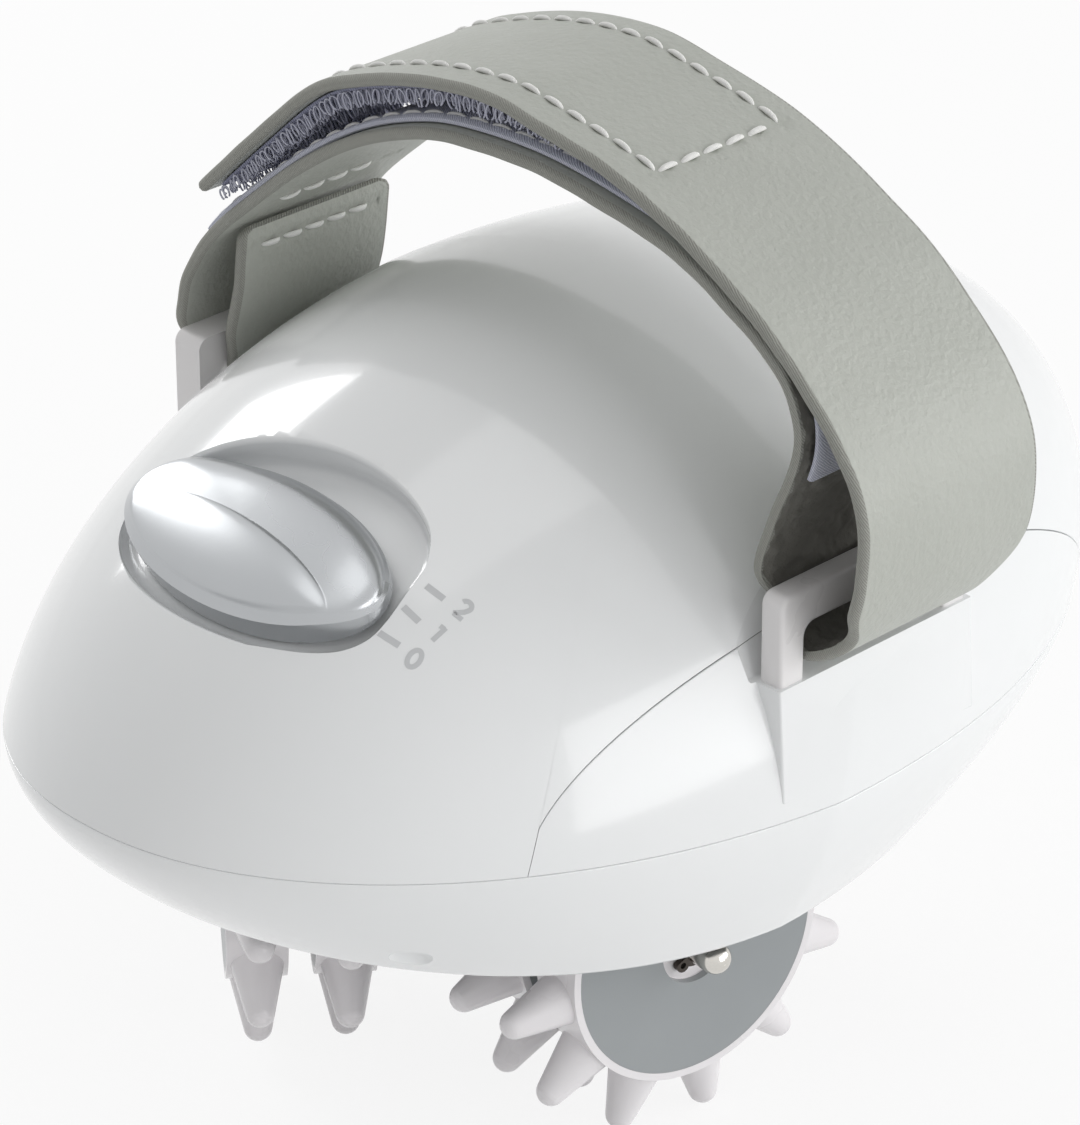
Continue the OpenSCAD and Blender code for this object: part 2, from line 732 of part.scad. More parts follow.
module plate_screws() {
    color(steel) for (p = pillar_spots)
        translate([p[0], p[1], plate_z - 7]) {
            cylinder(r = small_screw_r, h = 7 + plate_t, $fn = round_fn);
            translate([0, 0, 7 + plate_t]) cylinder(r = 2 * small_screw_r, h = 1.4, $fn = round_fn);
        }
}
motor_z = plate_z + plate_t;
module motor_can() {
    color(steel) translate([motor_xy[0], motor_xy[1], motor_z]) difference() {
        union() {
            cylinder(r = motor_r, h = motor_len - 1, $fn = 64);
            cylinder(r = motor_r - 1, h = motor_len, $fn = 64);
            translate([0, 0, -plate_t]) cylinder(r = 3.5, h = plate_t, $fn = round_fn);
            for (s = [-1, 1])
                translate([s * 9 - 1.5, -0.4, motor_len - cut]) cube([3, 0.8, 3]);
        }
        translate([0, 0, -plate_t - cut])
            cylinder(r = motor_shaft_r + fit_play, h = motor_len, $fn = round_fn);
    }
}
module motor_shaft() {
    color(steel) translate([motor_xy[0], motor_xy[1], gear_high - 0.3])
        cylinder(r = motor_shaft_r, h = motor_z + motor_len - 3 - gear_high, $fn = round_fn);
}

// Spur gear with involute flanks, its first tooth centred on the X axis
pressure = 20;
tooth_share = 0.94;
flank_steps = 5;
addendum = 0.9;
dedendum = 1.2;
function inv_at(r, base) = let(a = acos(min(1, base / r))) tan(a) * 180 / PI - a;
function gear_half_angle(r, teeth) =
    let(p = gear_m * teeth / 2, base = p * cos(pressure))
    90 / teeth * tooth_share + inv_at(p, base) - inv_at(max(r, base), base);
function gear_points(teeth) =
    let(p = gear_m * teeth / 2, root = p - dedendum * gear_m, tip = p + addendum * gear_m)
    [for (t = [0:teeth - 1]) each
        let(mid = 360 * t / teeth)
        concat(
            [for (k = [0:flank_steps])
                let(r = root + (tip - root) * k / flank_steps, a = mid - gear_half_angle(r, teeth))
                [r * cos(a), r * sin(a)]],
            [for (k = [flank_steps:-1:0])
                let(r = root + (tip - root) * k / flank_steps, a = mid + gear_half_angle(r, teeth))
                [r * cos(a), r * sin(a)]])];
module gear(teeth, bore) {
    difference() {
        linear_extrude(gear_w) polygon(gear_points(teeth));
        translate([0, 0, -cut]) cylinder(r = bore, h = gear_w + 2 * cut, $fn = round_fn);
    }
}
// A gear at angle dir from its driver, turned so that its teeth fall into the driver's gaps
function mesh_turn(dir, driver_turn, driver_teeth, teeth) =
    dir + 180 + 180 / teeth + (dir - driver_turn) * driver_teeth / teeth;
idler_turn = mesh_turn(idler_dir, 0, output_teeth, idler_small_teeth);
pinion_turn = mesh_turn(motor_dir, idler_turn, idler_large_teeth, pinion_teeth);

module output_gear() {
    color(white) translate([0, 0, gear_low]) difference() {
        union() {
            gear(output_teeth, shaft_r);
            translate([0, 0, -0.2]) cylinder(r = bush_r, h = gear_w + 0.4, $fn = round_fn);
        }
        translate([0, 0, -cut]) cylinder(r = shaft_r, h = gear_w + 2 * cut, $fn = round_fn);
        for (i = [0:5]) rotate([0, 0, 60 * i + 30])
            translate([14, 0, -cut]) cylinder(r = 4, h = gear_w + 2 * cut, $fn = round_fn);
    }
}
module idler_gear() {
    color(white) translate([idler_xy[0], idler_xy[1], gear_low]) difference() {
        rotate([0, 0, idler_turn]) union() {
            gear(idler_small_teeth, pin_r + fit_play);
            translate([0, 0, gear_w]) cylinder(r = 4, h = level_gap, $fn = round_fn);
            translate([0, 0, gear_w + level_gap]) gear(idler_large_teeth, pin_r + fit_play);
        }
        translate([0, 0, -cut])
            cylinder(r = pin_r + fit_play, h = 2 * gear_w + level_gap + 2 * cut, $fn = round_fn);
    }
}
module motor_pinion() {
    color(steel) translate([motor_xy[0], motor_xy[1], gear_high]) rotate([0, 0, pinion_turn])
        gear(pinion_teeth, motor_shaft_r);
}

// Head: hub, shaft, arms and axles
hub_low = 17;
hub_top = ceiling_z - bush_flange_t - 0.2;
inner_rho = outer_rho - roller_w - roller_gap;
hub_face_deep = 1.2;
end_play = 0.15;
arm_end = inner_rho - roller_w / 2 + hub_face_deep - end_play;
arm_angles = [arm_turn, arm_turn + 120, arm_turn + 240];
axle_in = 4.5;
face_rho = outer_rho + roller_w / 2;
ball_rho = face_rho + ball_reach;
clip_t = 0.8;
clip_rho = face_rho - hub_face_deep + end_play;
clip_groove_r = axle_r - 0.4;

// Puts its children on an arm: local Z points outward, local Y up
module on_arm(k, rho) {
    rotate([0, 0, arm_angles[k]]) translate([rho, 0, axle_z]) rotate([90, 0, 90]) children();
}
shaft_top = gear_low + gear_w + 1.6;
module output_shaft() {
    color(steel) difference() {
        translate([0, 0, hub_low]) cylinder(r = shaft_r, h = shaft_top - hub_low, $fn = round_fn);
        translate([0, 0, hub_low - cut]) cylinder(r = screw_r, h = 5.5 + cut, $fn = round_fn);
        translate([0, 0, gear_low + gear_w + 0.3]) clip_groove(shaft_r, 0.7);
    }
}
module clip_groove(r, t) {
    difference() {
        cylinder(r = r + cut, h = t, $fn = round_fn);
        translate([0, 0, -cut]) cylinder(r = r - 0.4, h = t + 2 * cut, $fn = round_fn);
    }
}
// Retaining ring that is open on one side, with two lugs at its ends
module open_clip(r, t, broad) {
    difference() {
        union() {
            cylinder(r = r + broad, h = t, $fn = round_fn);
            for (s = [-1, 1])
                rotate([0, 0, 25 * s]) translate([r + broad, 0, 0]) cylinder(r = 0.9, h = t, $fn = 32);
        }
        translate([0, 0, -cut]) cylinder(r = r - 0.4, h = t + 2 * cut, $fn = round_fn);
        translate([0, -0.6, -cut]) cube([r + broad + 3, 1.2, t + 2 * cut]);
        for (s = [-1, 1])
            rotate([0, 0, 25 * s]) translate([r + broad, 0, -cut]) cylinder(r = 0.4, h = t + 2 * cut, $fn = 32);
    }
}
module shaft_clip() {
    color(steel) translate([0, 0, gear_low + gear_w + 0.3]) open_clip(shaft_r, 0.7, 1.4);
}
module head_hub() {
    flange_r = 14;
    color(white) difference() {
        union() {
            translate([0, 0, hub_low]) cylinder(r = hub_r, h = hub_top - hub_low, $fn = 64);
            translate([0, 0, hub_top - 2.2]) cylinder(r = flange_r, h = 2.2, $fn = 64);
            for (k = [0:2]) {
                on_arm(k, 0) cylinder(r = arm_r, h = arm_end, $fn = round_fn);
                rotate([0, 0, arm_angles[k]]) translate([0, 1.25, axle_z]) rotate([90, 0, 0])
                    linear_extrude(2.5) polygon([[0, 0], [16, 0], [flange_r - 1, hub_top - axle_z - 1],
                        [0, hub_top - axle_z - 1]]);
            }
        }
        translate([0, 0, hub_low - cut]) cylinder(r = shaft_r, h = 60, $fn = round_fn);
        for (k = [0:2]) on_arm(k, axle_in) cylinder(r = axle_r, h = 20, $fn = round_fn);
    }
}
module hub_screw() {
    color(steel) translate([0, 0, hub_low]) {
        cylinder(r = screw_r, h = 5.5, $fn = round_fn);
        translate([0, 0, -0.8]) cylinder(r = 5.5, h = 0.8, $fn = round_fn);
        translate([0, 0, -2.6]) cylinder(r = screw_head_r, h = 1.8, $fn = round_fn);
    }
}
module axle(k) {
    color(steel) on_arm(k, 0) difference() {
        union() {
            translate([0, 0, axle_in]) cylinder(r = axle_r, h = ball_rho - axle_in, $fn = round_fn);
            translate([0, 0, ball_rho]) sphere(r = axle_r, $fn = round_fn);
        }
        translate([0, 0, clip_rho]) clip_groove(axle_r, clip_t);
    }
}
module axle_1() { axle(0); }
module axle_2() { axle(1); }
module axle_3() { axle(2); }
clip_turn = -150;
module axle_clips() {
    color(steel) for (k = [0:2])
        on_arm(k, clip_rho) rotate([0, 0, clip_turn]) open_clip(axle_r, clip_t, 1);
}
module roller_spacers() {
    len = roller_gap + 2 * (hub_face_deep - end_play);
    color(white) for (k = [0:2])
        on_arm(k, outer_rho - roller_w / 2 + hub_face_deep - end_play - len) difference() {
            cylinder(r = arm_r - 1, h = len, $fn = round_fn);
            translate([0, 0, -cut]) cylinder(r = axle_r, h = len + 2 * cut, $fn = round_fn);
        }
}

// Rollers: rim, web and hub in one piece with the nubs, and a cover disc in each face
disc_r = rim_r - rim_edge;
disc_play = 0.03;
module nub() {
    reach = tip_r - nub_tip_r;
    root = rim_r - 1.4;
    side = asin((nub_root_r - nub_tip_r) / (reach - root));
    rotate_extrude($fn = 32) polygon(concat(
        [[0, root], [nub_root_r, root]],
        [for (i = [0:6]) let(a = side + (90 - side) * i / 6)
            [i == 6 ? 0 : nub_tip_r * cos(a), reach + nub_tip_r * sin(a)]]));
}
module roller(k, rho, turn) {
    half = roller_w / 2;
    color(white) on_arm(k, rho) rotate([0, 0, turn]) difference() {
        union() {
            translate([0, 0, -half]) cylinder(r = rim_r, h = roller_w, $fn = 96);
            for (i = [0:nub_count - 1])
                rotate([0, 0, 360 * i / nub_count]) rotate([0, 90, 0]) nub();
        }
        for (s = [0, 1]) mirror([0, 0, s]) {
            translate([0, 0, half - disc_t]) cylinder(r = disc_r, h = disc_t + cut, $fn = 96);
            translate([0, 0, half - hub_face_deep])
                cylinder(r = disc_hole_r, h = hub_face_deep + cut, $fn = round_fn);
        }
        translate([0, 0, -half - cut]) cylinder(r = axle_r + fit_play, h = roller_w + 2 * cut, $fn = round_fn);
    }
}
module discs(k, rho) {
    half = roller_w / 2;
    color(disc_grey) on_arm(k, rho) for (s = [0, 1]) mirror([0, 0, s])
        translate([0, 0, half - disc_t]) difference() {
            cylinder(r = disc_r - disc_play, h = disc_t, $fn = 96);
            translate([0, 0, -cut]) cylinder(r = disc_hole_r, h = disc_t + 2 * cut, $fn = round_fn);
        }
}
module roller_outer_1() { roller(0, outer_rho, roller_turns[0]); }
module roller_inner_1() { roller(0, inner_rho, roller_turns[1]); }
module roller_outer_2() { roller(1, outer_rho, roller_turns[2]); }
module roller_inner_2() { roller(1, inner_rho, roller_turns[3]); }
module roller_outer_3() { roller(2, outer_rho, roller_turns[4]); }
module roller_inner_3() { roller(2, inner_rho, roller_turns[5]); }
module discs_outer_1() { discs(0, outer_rho); }
module discs_inner_1() { discs(0, inner_rho); }
module discs_outer_2() { discs(1, outer_rho); }
module discs_inner_2() { discs(1, inner_rho); }
module discs_outer_3() { discs(2, outer_rho); }
module discs_inner_3() { discs(2, inner_rho); }

// Strap: one band drawn along its middle line in the XZ plane. The line starts at the sewn end
// inside the left loop, goes round the left bar, over the hand, round the right bar and back
// over itself. Its points are chosen by hand, with heights above the underside of the bars,
// and a smooth curve runs through them.
bar_play = 0.4;
bar_mid = loop_x + loop_t / 2;
drawn_mid = 49.5;
wrap_r = loop_t / 2 + bar_play + strap_t / 2;
wrap_z = bar_low + 0.8;
left_wrap = [for (a = [0:-45:-180]) [wrap_r * cos(a) - bar_mid, wrap_z + wrap_r * sin(a)]];
right_wrap = [for (a = [180:45:270]) [wrap_r * cos(a) + bar_mid, wrap_z + wrap_r * sin(a)]];
function above_bars(line) = [for (p = line) [p[0] * bar_mid / drawn_mid, bar_low + p[1]]];
tab_line = above_bars([[-38.5, 22.4], [-41.2, 19.5], [-43.5, 16.4], [-46, 10.1], [-46.6, 5.5]]);
hand_line = above_bars([
    [-52.6, 4.3], [-52.2, 7.3], [-50.8, 12.1], [-46.3, 18.6], [-39.2, 25.1], [-29.5, 32.9], [-20.5, 38.6],
    [-11.7, 42.3], [-3.1, 44.2], [10, 44.6], [22.6, 42.9], [33.6, 40.2], [41.6, 36.1], [47.2, 32.5],
    [50.7, 28.3], [51.4, 22.2], [48.1, 13.2], [46, 6.3]]);
cover_line = above_bars([
    [53.2, -1.2], [56.8, 0.9], [59.5, 4.6], [61.1, 9.1], [61.3, 15.5], [60.1, 20.3], [57, 25.4],
    [52.5, 30.1], [45.4, 36.1], [38, 40.4], [31.1, 43.9], [22.5, 47.1], [11.8, 49.4],
    [2.5, 50.8], [-8.7, 49.7], [-20.3, 46.4], [-27.9, 42.7], [-38.4, 33.5], [-48.3, 24.2]]);
strap_line = concat(tab_line, left_wrap, hand_line, right_wrap, cover_line);
smooth_steps = 3;

function lerp_curve(a, b, c, d, t) =
    0.5 * ((2 * b) + (c - a) * t + (2 * a - 5 * b + 4 * c - d) * t * t
        + (3 * b - a - 3 * c + d) * t * t * t);
function smoothed(line) =
    let(n = len(line))
    concat([for (i = [0:n - 2], s = [0:smooth_steps - 1])
        lerp_curve(line[max(0, i - 1)], line[i], line[i + 1], line[min(n - 1, i + 2)], s / smooth_steps)],
        [line[n - 1]]);
function side_way(line, i) =
    let(n = len(line), d = line[min(n - 1, i + 1)] - line[max(0, i - 1)])
    [-d[1], d[0]] / norm(d);
// Closed outline of a band between two offsets from a line, positive to the left of its run
function band(line, low, high) = concat(
    [for (i = [0:len(line) - 1]) line[i] + side_way(line, i) * low],
    [for (i = [len(line) - 1:-1:0]) line[i] + side_way(line, i) * high]);
module band_solid(line, low, high, width) {
    translate([0, loop_mid_y + width / 2, 0]) rotate([90, 0, 0])
        linear_extrude(width) polygon(band(line, low, high));
}
// Side outline that narrows the strap where it passes the loops. Outside the loops the strap
// tapers lower down than between them.
module neck_outline(low, high) {
    w = strap_w / 2;
    v = strap_neck_w / 2;
    polygon([[-v, bar_low - 15], [v, bar_low - 15], [v, low], [w, high], [w, loop_top + 60],
        [-w, loop_top + 60], [-w, high], [-v, low]]);
}
module strap_sides() {
    edge = loop_face + 0.2;
    translate([-edge, loop_mid_y, 0]) rotate([90, 0, 90])
        linear_extrude(2 * edge) neck_outline(loop_top + 0.3, loop_top + 1.8);
    both_sides() translate([edge, loop_mid_y, 0]) rotate([90, 0, 90])
        linear_extrude(30) neck_outline(bar_low - 1, bar_low + 6);
}
module hand_strap() {
    color(sage) intersection() {
        band_solid(smoothed(strap_line), -strap_t / 2, strap_t / 2, strap_w);
        strap_sides();
    }
}
skin_gap = 0.12;
loop_tape_line = [for (i = [4:10]) hand_line[i]];
hook_tape_line = [for (i = [11:18]) cover_line[i]];
hook_tail_line = [for (i = [4:6]) cover_line[i]];
module loop_tape() {
    color([0.72, 0.72, 0.8])
        band_solid(smoothed(loop_tape_line), strap_t / 2 + skin_gap, strap_t / 2 + skin_gap + loop_tape_t, tape_w);
}
module hook_tape() {
    color([0.62, 0.62, 0.72]) {
        band_solid(smoothed(hook_tape_line), strap_t / 2 + skin_gap,
            strap_t / 2 + skin_gap + hook_tape_t, tape_w);
        band_solid(smoothed(hook_tail_line), strap_t / 2 + skin_gap,
            strap_t / 2 + skin_gap + hook_tape_t, tape_w);
    }
}

top_shell();
base_shell();
side_panel_left();
side_panel_right();
strap_loop_left();
strap_loop_right();
hand_strap();
loop_tape();
hook_tape();
speed_knob();
knob_spindle();
speed_switch();
circuit_board();
board_screws();
power_inlet();
inlet_pin();
well_tray();
output_bush();
idler_pin();
gear_plate();
motor_can();
motor_shaft();
motor_pinion();
idler_gear();
output_gear();
output_shaft();
shaft_clip();
head_hub();
hub_screw();
axle_1();
axle_2();
axle_3();
axle_clips();
roller_spacers();
roller_outer_1();
roller_inner_1();
roller_outer_2();
roller_inner_2();
roller_outer_3();
roller_inner_3();
discs_outer_1();
discs_inner_1();
discs_outer_2();
discs_inner_2();
discs_outer_3();
discs_inner_3();
housing_screws();
tray_screws();
plate_screws();
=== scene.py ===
import json
import math
import random

import bmesh
import bpy
import numpy as np
from mathutils import Matrix, Vector, noise as fractal
from mathutils.bvhtree import BVHTree


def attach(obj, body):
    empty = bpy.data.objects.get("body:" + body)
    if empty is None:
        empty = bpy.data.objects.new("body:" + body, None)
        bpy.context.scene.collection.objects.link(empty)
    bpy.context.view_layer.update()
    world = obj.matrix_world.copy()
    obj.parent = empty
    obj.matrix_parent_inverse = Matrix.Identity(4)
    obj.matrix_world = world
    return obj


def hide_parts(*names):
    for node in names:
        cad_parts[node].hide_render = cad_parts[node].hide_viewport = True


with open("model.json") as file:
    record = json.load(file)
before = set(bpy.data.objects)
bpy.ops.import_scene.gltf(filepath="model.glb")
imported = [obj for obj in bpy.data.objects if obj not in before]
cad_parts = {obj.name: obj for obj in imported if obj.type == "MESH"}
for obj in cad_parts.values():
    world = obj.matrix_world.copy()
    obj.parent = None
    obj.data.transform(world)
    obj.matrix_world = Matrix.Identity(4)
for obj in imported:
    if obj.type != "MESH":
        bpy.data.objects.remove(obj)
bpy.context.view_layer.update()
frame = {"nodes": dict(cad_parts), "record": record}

MM = 0.001
rng = random.Random(7)


# Camera, at the photograph's viewing angle

VIEW = Vector((0.6272, -0.6295, 0.4586)).normalized()
TARGET = Vector((4.457, -0.219, 63.49)) * MM
DISTANCE = 0.606
LENS = 160.95


def linked(name, data):
    obj = bpy.data.objects.new(name, data)
    bpy.context.scene.collection.objects.link(obj)
    return obj


def make_camera():
    data = bpy.data.cameras.new("camera")
    data.sensor_fit = "VERTICAL"
    data.sensor_height = 36
    data.lens = LENS
    cam = linked("camera", data)
    right = Vector((0, 0, 1)).cross(VIEW).normalized()
    up = VIEW.cross(right)
    turn = Matrix((right, up, VIEW)).transposed().to_4x4()
    cam.matrix_world = Matrix.Translation(TARGET + VIEW * DISTANCE) @ turn
    bpy.context.scene.camera = cam


make_camera()


# Materials

def node_material(name):
    mat = bpy.data.materials.new(name)
    mat.use_nodes = True
    tree = mat.node_tree
    shader = tree.nodes["Principled BSDF"]
    return mat, tree, shader


def add(tree, kind, inputs=None, **settings):
    """New node with its settings; an input is a constant or the output that feeds it."""
    node = tree.nodes.new(kind)
    for key, value in settings.items():
        setattr(node, key, value)
    fill(tree, node, inputs or {})
    return node


def fill(tree, node, inputs):
    for key, value in inputs.items():
        if isinstance(value, bpy.types.NodeSocket):
            tree.links.new(value, node.inputs[key])
        else:
            node.inputs[key].default_value = value


def object_coords(tree):
    return tree.nodes.new("ShaderNodeTexCoord").outputs["Object"]


def noise(tree, vector, scale, detail=3.0, roughness=0.5):
    inputs = {"Vector": vector, "Scale": scale, "Detail": detail, "Roughness": roughness}
    return add(tree, "ShaderNodeTexNoise", inputs).outputs["Fac"]


def spread(tree, value, low, high):
    inputs = {"Value": value, "From Min": 0.1, "From Max": 0.9, "To Min": low, "To Max": high}
    return add(tree, "ShaderNodeMapRange", inputs, interpolation_type="SMOOTHSTEP").outputs["Result"]


def two_tone(tree, value, dark, light):
    inputs = {"A": (*dark, 1), "B": (*light, 1), "Factor": value}
    return add(tree, "ShaderNodeMix", inputs, data_type="RGBA").outputs["Result"]


def bump(tree, height, depth, strength):
    inputs = {"Height": height, "Distance": depth, "Strength": strength}
    return add(tree, "ShaderNodeBump", inputs).outputs["Normal"]


def moulded(name, dark, light, rough=(0.16, 0.24), coat=0.0, metallic=0.0, grain=0.00002):
    mat, tree, shader = node_material(name)
    at = object_coords(tree)
    fill(tree, shader, {
        "Base Color": two_tone(tree, spread(tree, noise(tree, at, 35), 0, 1), dark, light),
        "Roughness": spread(tree, noise(tree, at, 60, 4), *rough),
        "Coat Weight": coat, "Coat Roughness": 0.06, "Metallic": metallic,
        "Normal": bump(tree, noise(tree, at, 900, 2), grain, 0.25)})
    return mat


def leather(name, dark, light, grain=0.0003, fine=1500, rough=(0.4, 0.5)):
    mat, tree, shader = node_material(name)
    at = object_coords(tree)
    cells = add(tree, "ShaderNodeTexVoronoi", {"Vector": at, "Scale": fine * 0.6})
    total = add(tree, "ShaderNodeMath", {0: cells.outputs["Distance"], 1: 0.5,
                                         2: noise(tree, at, fine, 5, 0.6)}, operation="MULTIPLY_ADD")
    fill(tree, shader, {
        "Base Color": two_tone(tree, spread(tree, noise(tree, at, 55, 4), 0, 1), dark, light),
        "Roughness": spread(tree, noise(tree, at, 200, 3), *rough),
        "Normal": bump(tree, total.outputs["Value"], grain, 0.6)})
    return mat


def woven(name, dark, light, scale, rough=0.8, sheen=0.0, grain=0.0002):
    mat, tree, shader = node_material(name)
    at = object_coords(tree)
    across = add(tree, "ShaderNodeTexWave", {"Vector": at, "Scale": scale, "Distortion": 1.5, "Detail": 1.0},
                 bands_direction="DIAGONAL")
    mixed = add(tree, "ShaderNodeMath", {0: across.outputs["Fac"], 1: noise(tree, at, scale * 1.5, 3)},
                operation="MULTIPLY").outputs["Value"]
    stretch = add(tree, "ShaderNodeMath", {0: mixed, 1: 1.9}, operation="MULTIPLY", use_clamp=True)
    fill(tree, shader, {
        "Base Color": two_tone(tree, stretch.outputs["Value"], dark, light),
        "Roughness": rough, "Sheen Weight": sheen, "Normal": bump(tree, mixed, grain, 0.7)})
    return mat


WHITE = moulded("white plastic", (0.845, 0.86, 0.865), (0.865, 0.875, 0.88), (0.14, 0.2), coat=0.5)
LOOP_WHITE = moulded("loop plastic", (0.80, 0.785, 0.785), (0.83, 0.815, 0.815), (0.26, 0.34))
ROLLER_WHITE = moulded("roller plastic", (0.82, 0.795, 0.81), (0.86, 0.84, 0.855), (0.2, 0.3))
DISC_GREY = moulded("disc plastic", (0.29, 0.31, 0.32), (0.34, 0.36, 0.37), (0.28, 0.36))
SILVER = moulded("silver lacquer", (0.45, 0.465, 0.48), (0.5, 0.515, 0.53), (0.26, 0.32), coat=0.25,
                 metallic=0.8)
STEEL = moulded("polished steel", (0.62, 0.60, 0.56), (0.72, 0.70, 0.66), (0.14, 0.22), metallic=1.0)
# Near-black steel for the clips: its colour is painted shade for the recess round the ball.
CLIP_STEEL_PAINTED_SHADE = moulded("spring steel with painted shade", (0.05, 0.045, 0.042), (0.10, 0.085, 0.075), (0.22, 0.32),
                       metallic=0.9)
BRASS = moulded("sintered bronze", (0.50, 0.38, 0.18), (0.60, 0.46, 0.24), (0.35, 0.45), metallic=1.0)
DARK = moulded("dark plastic", (0.02, 0.02, 0.022), (0.035, 0.035, 0.04), (0.35, 0.5))
GEAR_WHITE = moulded("gear plastic", (0.76, 0.76, 0.70), (0.82, 0.82, 0.76), (0.35, 0.45))
BOARD = moulded("board", (0.02, 0.12, 0.05), (0.03, 0.17, 0.07), (0.3, 0.45))
PRINT_GREY = moulded("printed marks", (0.56, 0.57, 0.58), (0.62, 0.63, 0.64), (0.3, 0.4))
LEATHER = leather("strap leather", (0.43, 0.445, 0.405), (0.465, 0.48, 0.44))
LINING = leather("strap lining", (0.13, 0.125, 0.11), (0.27, 0.265, 0.24), 0.0006, 900, (0.8, 0.95))
EDGE = woven("strap edge", (0.27, 0.27, 0.245), (0.40, 0.405, 0.37), 1500)
LOOP_PILE = woven("loop pile", (0.46, 0.48, 0.60), (0.80, 0.82, 0.92), 1500, sheen=0.3)
HOOK_PILE = woven("hook pile", (0.17, 0.18, 0.27), (0.36, 0.37, 0.50), 1100, sheen=0.2)
CURL = moulded("curled thread", (0.38, 0.39, 0.49), (0.66, 0.67, 0.77), (0.35, 0.5))
THREAD = woven("thread", (0.90, 0.90, 0.87), (0.98, 0.98, 0.96), 2600, rough=0.6)

SLOT_LOOKS = {
    "gloss_white": WHITE, "loop_white": LOOP_WHITE, "strap_leather": LEATHER,
    "loop_tape": LOOP_PILE, "hook_tape": HOOK_PILE, "knob_silver": SILVER, "inner_steel": STEEL,
    "axle_steel": STEEL, "dark_plastic": DARK, "board": BOARD, "inner_white": WHITE, "bronze": BRASS,
    "gear_plastic": GEAR_WHITE, "roller_white": ROLLER_WHITE, "disc_grey": DISC_GREY,
}


def dress_cad_nodes():
    slots = {s["node"]: s["material_slot"] for s in frame["record"]["subparts"]}
    for name, obj in frame["nodes"].items():
        obj.data.materials.clear()
        # The clips take the near-black steel, whose colour is painted shade for the recess round the ball.
        look = CLIP_STEEL_PAINTED_SHADE if "_clip" in name else SLOT_LOOKS[slots[name]]
        obj.data.materials.append(look)
        smooth_by_angle(obj, 30)


# Mesh helpers. Shapes are computed in millimetres and stored in metres.

def smooth_by_angle(obj, degrees):
    mesh = obj.data
    for poly in mesh.polygons:
        poly.use_smooth = True
    mesh.set_sharp_from_angle(angle=math.radians(degrees))


def metres(p):
    return tuple(c * MM for c in p)


def new_object(name, points, faces, materials, kinds=None, merge=True, angle=40):
    """Object from points in mm. kinds gives each face its material; at angle 0 all faces are flat."""
    mesh = bpy.data.meshes.new(name)
    mesh.from_pydata([metres(p) for p in points], [], faces)
    mesh.validate()
    for mat in materials:
        mesh.materials.append(mat)
    if kinds:
        mesh.polygons.foreach_set("material_index", kinds)
    obj = linked(name, mesh)
    bm = bmesh.new()
    bm.from_mesh(mesh)
    if merge:
        bmesh.ops.remove_doubles(bm, verts=bm.verts, dist=1e-6)
    finish_mesh(bm, mesh)
    if angle:
        smooth_by_angle(obj, angle)
    return obj


def finish_mesh(bm, mesh):
    bmesh.ops.recalc_face_normals(bm, faces=bm.faces)
    bm.to_mesh(mesh)
    bm.free()


def ring_faces(count, rows, closed=True):
    faces = []
    for r in range(rows - 1):
        for i in range(count if closed else count - 1):
            j = (i + 1) % count
            faces.append((r * count + i, r * count + j, (r + 1) * count + j, (r + 1) * count + i))
    return faces


def apply_modifiers(obj):
    graph = bpy.context.evaluated_depsgraph_get()
    mesh = bpy.data.meshes.new_from_object(obj.evaluated_get(graph))
    old = obj.data
    obj.modifiers.clear()
    obj.data = mesh
    bpy.data.meshes.remove(old)


def cut(obj, tools, operation="DIFFERENCE"):
    for tool in tools:
        mod = obj.modifiers.new("cut", "BOOLEAN")
        mod.operation = operation
        mod.solver = "EXACT"
        mod.object = tool
    apply_modifiers(obj)
    for tool in tools:
        mesh = tool.data
        bpy.data.objects.remove(tool)
        bpy.data.meshes.remove(mesh)


def round_angles(count):
    return [2 * math.pi * i / count for i in range(count)]


def ring_at(p, u, v, count):
    """Ring of points round p with the half axes u and v."""
    return [p + u * math.cos(a) + v * math.sin(a) for a in round_angles(count)]


def tubes(name, pieces, material, angle=180, merge=False):
    """Object of closed tubes, each a list of rings."""
    points, faces = [], []
    for rows in pieces:
        base, count = len(points), len(rows[0])
        points += [p for row in rows for p in row]
        faces += [tuple(base + i for i in f) for f in ring_faces(count, len(rows))]
        faces.append(tuple(range(base, base + count)))
        faces.append(tuple(range(len(points) - 1, len(points) - count - 1, -1)))
    return new_object(name, points, faces, [material], merge=merge, angle=angle)


def run_lengths(points):
    """Length along a line of points, at each of them."""
    return np.concatenate([[0], np.cumsum(np.linalg.norm(np.diff(points, axis=0), axis=1))])


def rod(start, end, radius, count=48):
    """Round cutter from start to end."""
    start, end = Vector(start), Vector(end)
    axis = (end - start).normalized()
    side = axis.orthogonal().normalized() * radius
    return tubes("rod_tool", [[ring_at(p, side, axis.cross(side), count) for p in (start, end)]], WHITE)


# Body surface, the same formula as the solids

HALF_WIDTH, NOSE_LEN, TAIL_LEN = 54.0, 68.0, 80.4
DOME_TOP, SEAM_HEIGHT, RIM_HEIGHT = 97.9, 50.5, 30.5
DOME_LEAN, NOSE_TAPER, RIM_SHARE, MID_Y = 15.75, 0.17, 0.855, -1.0
NOSE_POWER, TAIL_POWER = 2.19, 2.28


def clamp(value, low, high):
    return max(low, min(high, value))


def eased(value):
    f = clamp(value, 0.0, 1.0)
    return f * f * (3 - 2 * f)


def spow(v, e):
    return math.copysign(abs(v) ** e, v)


def plan(a, inset=0.0):
    s, c = math.sin(a), math.cos(a)
    power = NOSE_POWER if s < 0 else TAIL_POWER
    y = ((NOSE_LEN if s < 0 else TAIL_LEN) - inset) * spow(s, 2 / power)
    x = (HALF_WIDTH - inset) * spow(c, 2 / power) * (1 + NOSE_TAPER * min(y, 0) / NOSE_LEN)
    return x, y


def seam_at(y):
    return SEAM_HEIGHT - 0.015 * y + 0.00045 * y * y


def rim_at(y):
    return RIM_HEIGHT + 0.0022 * y * y


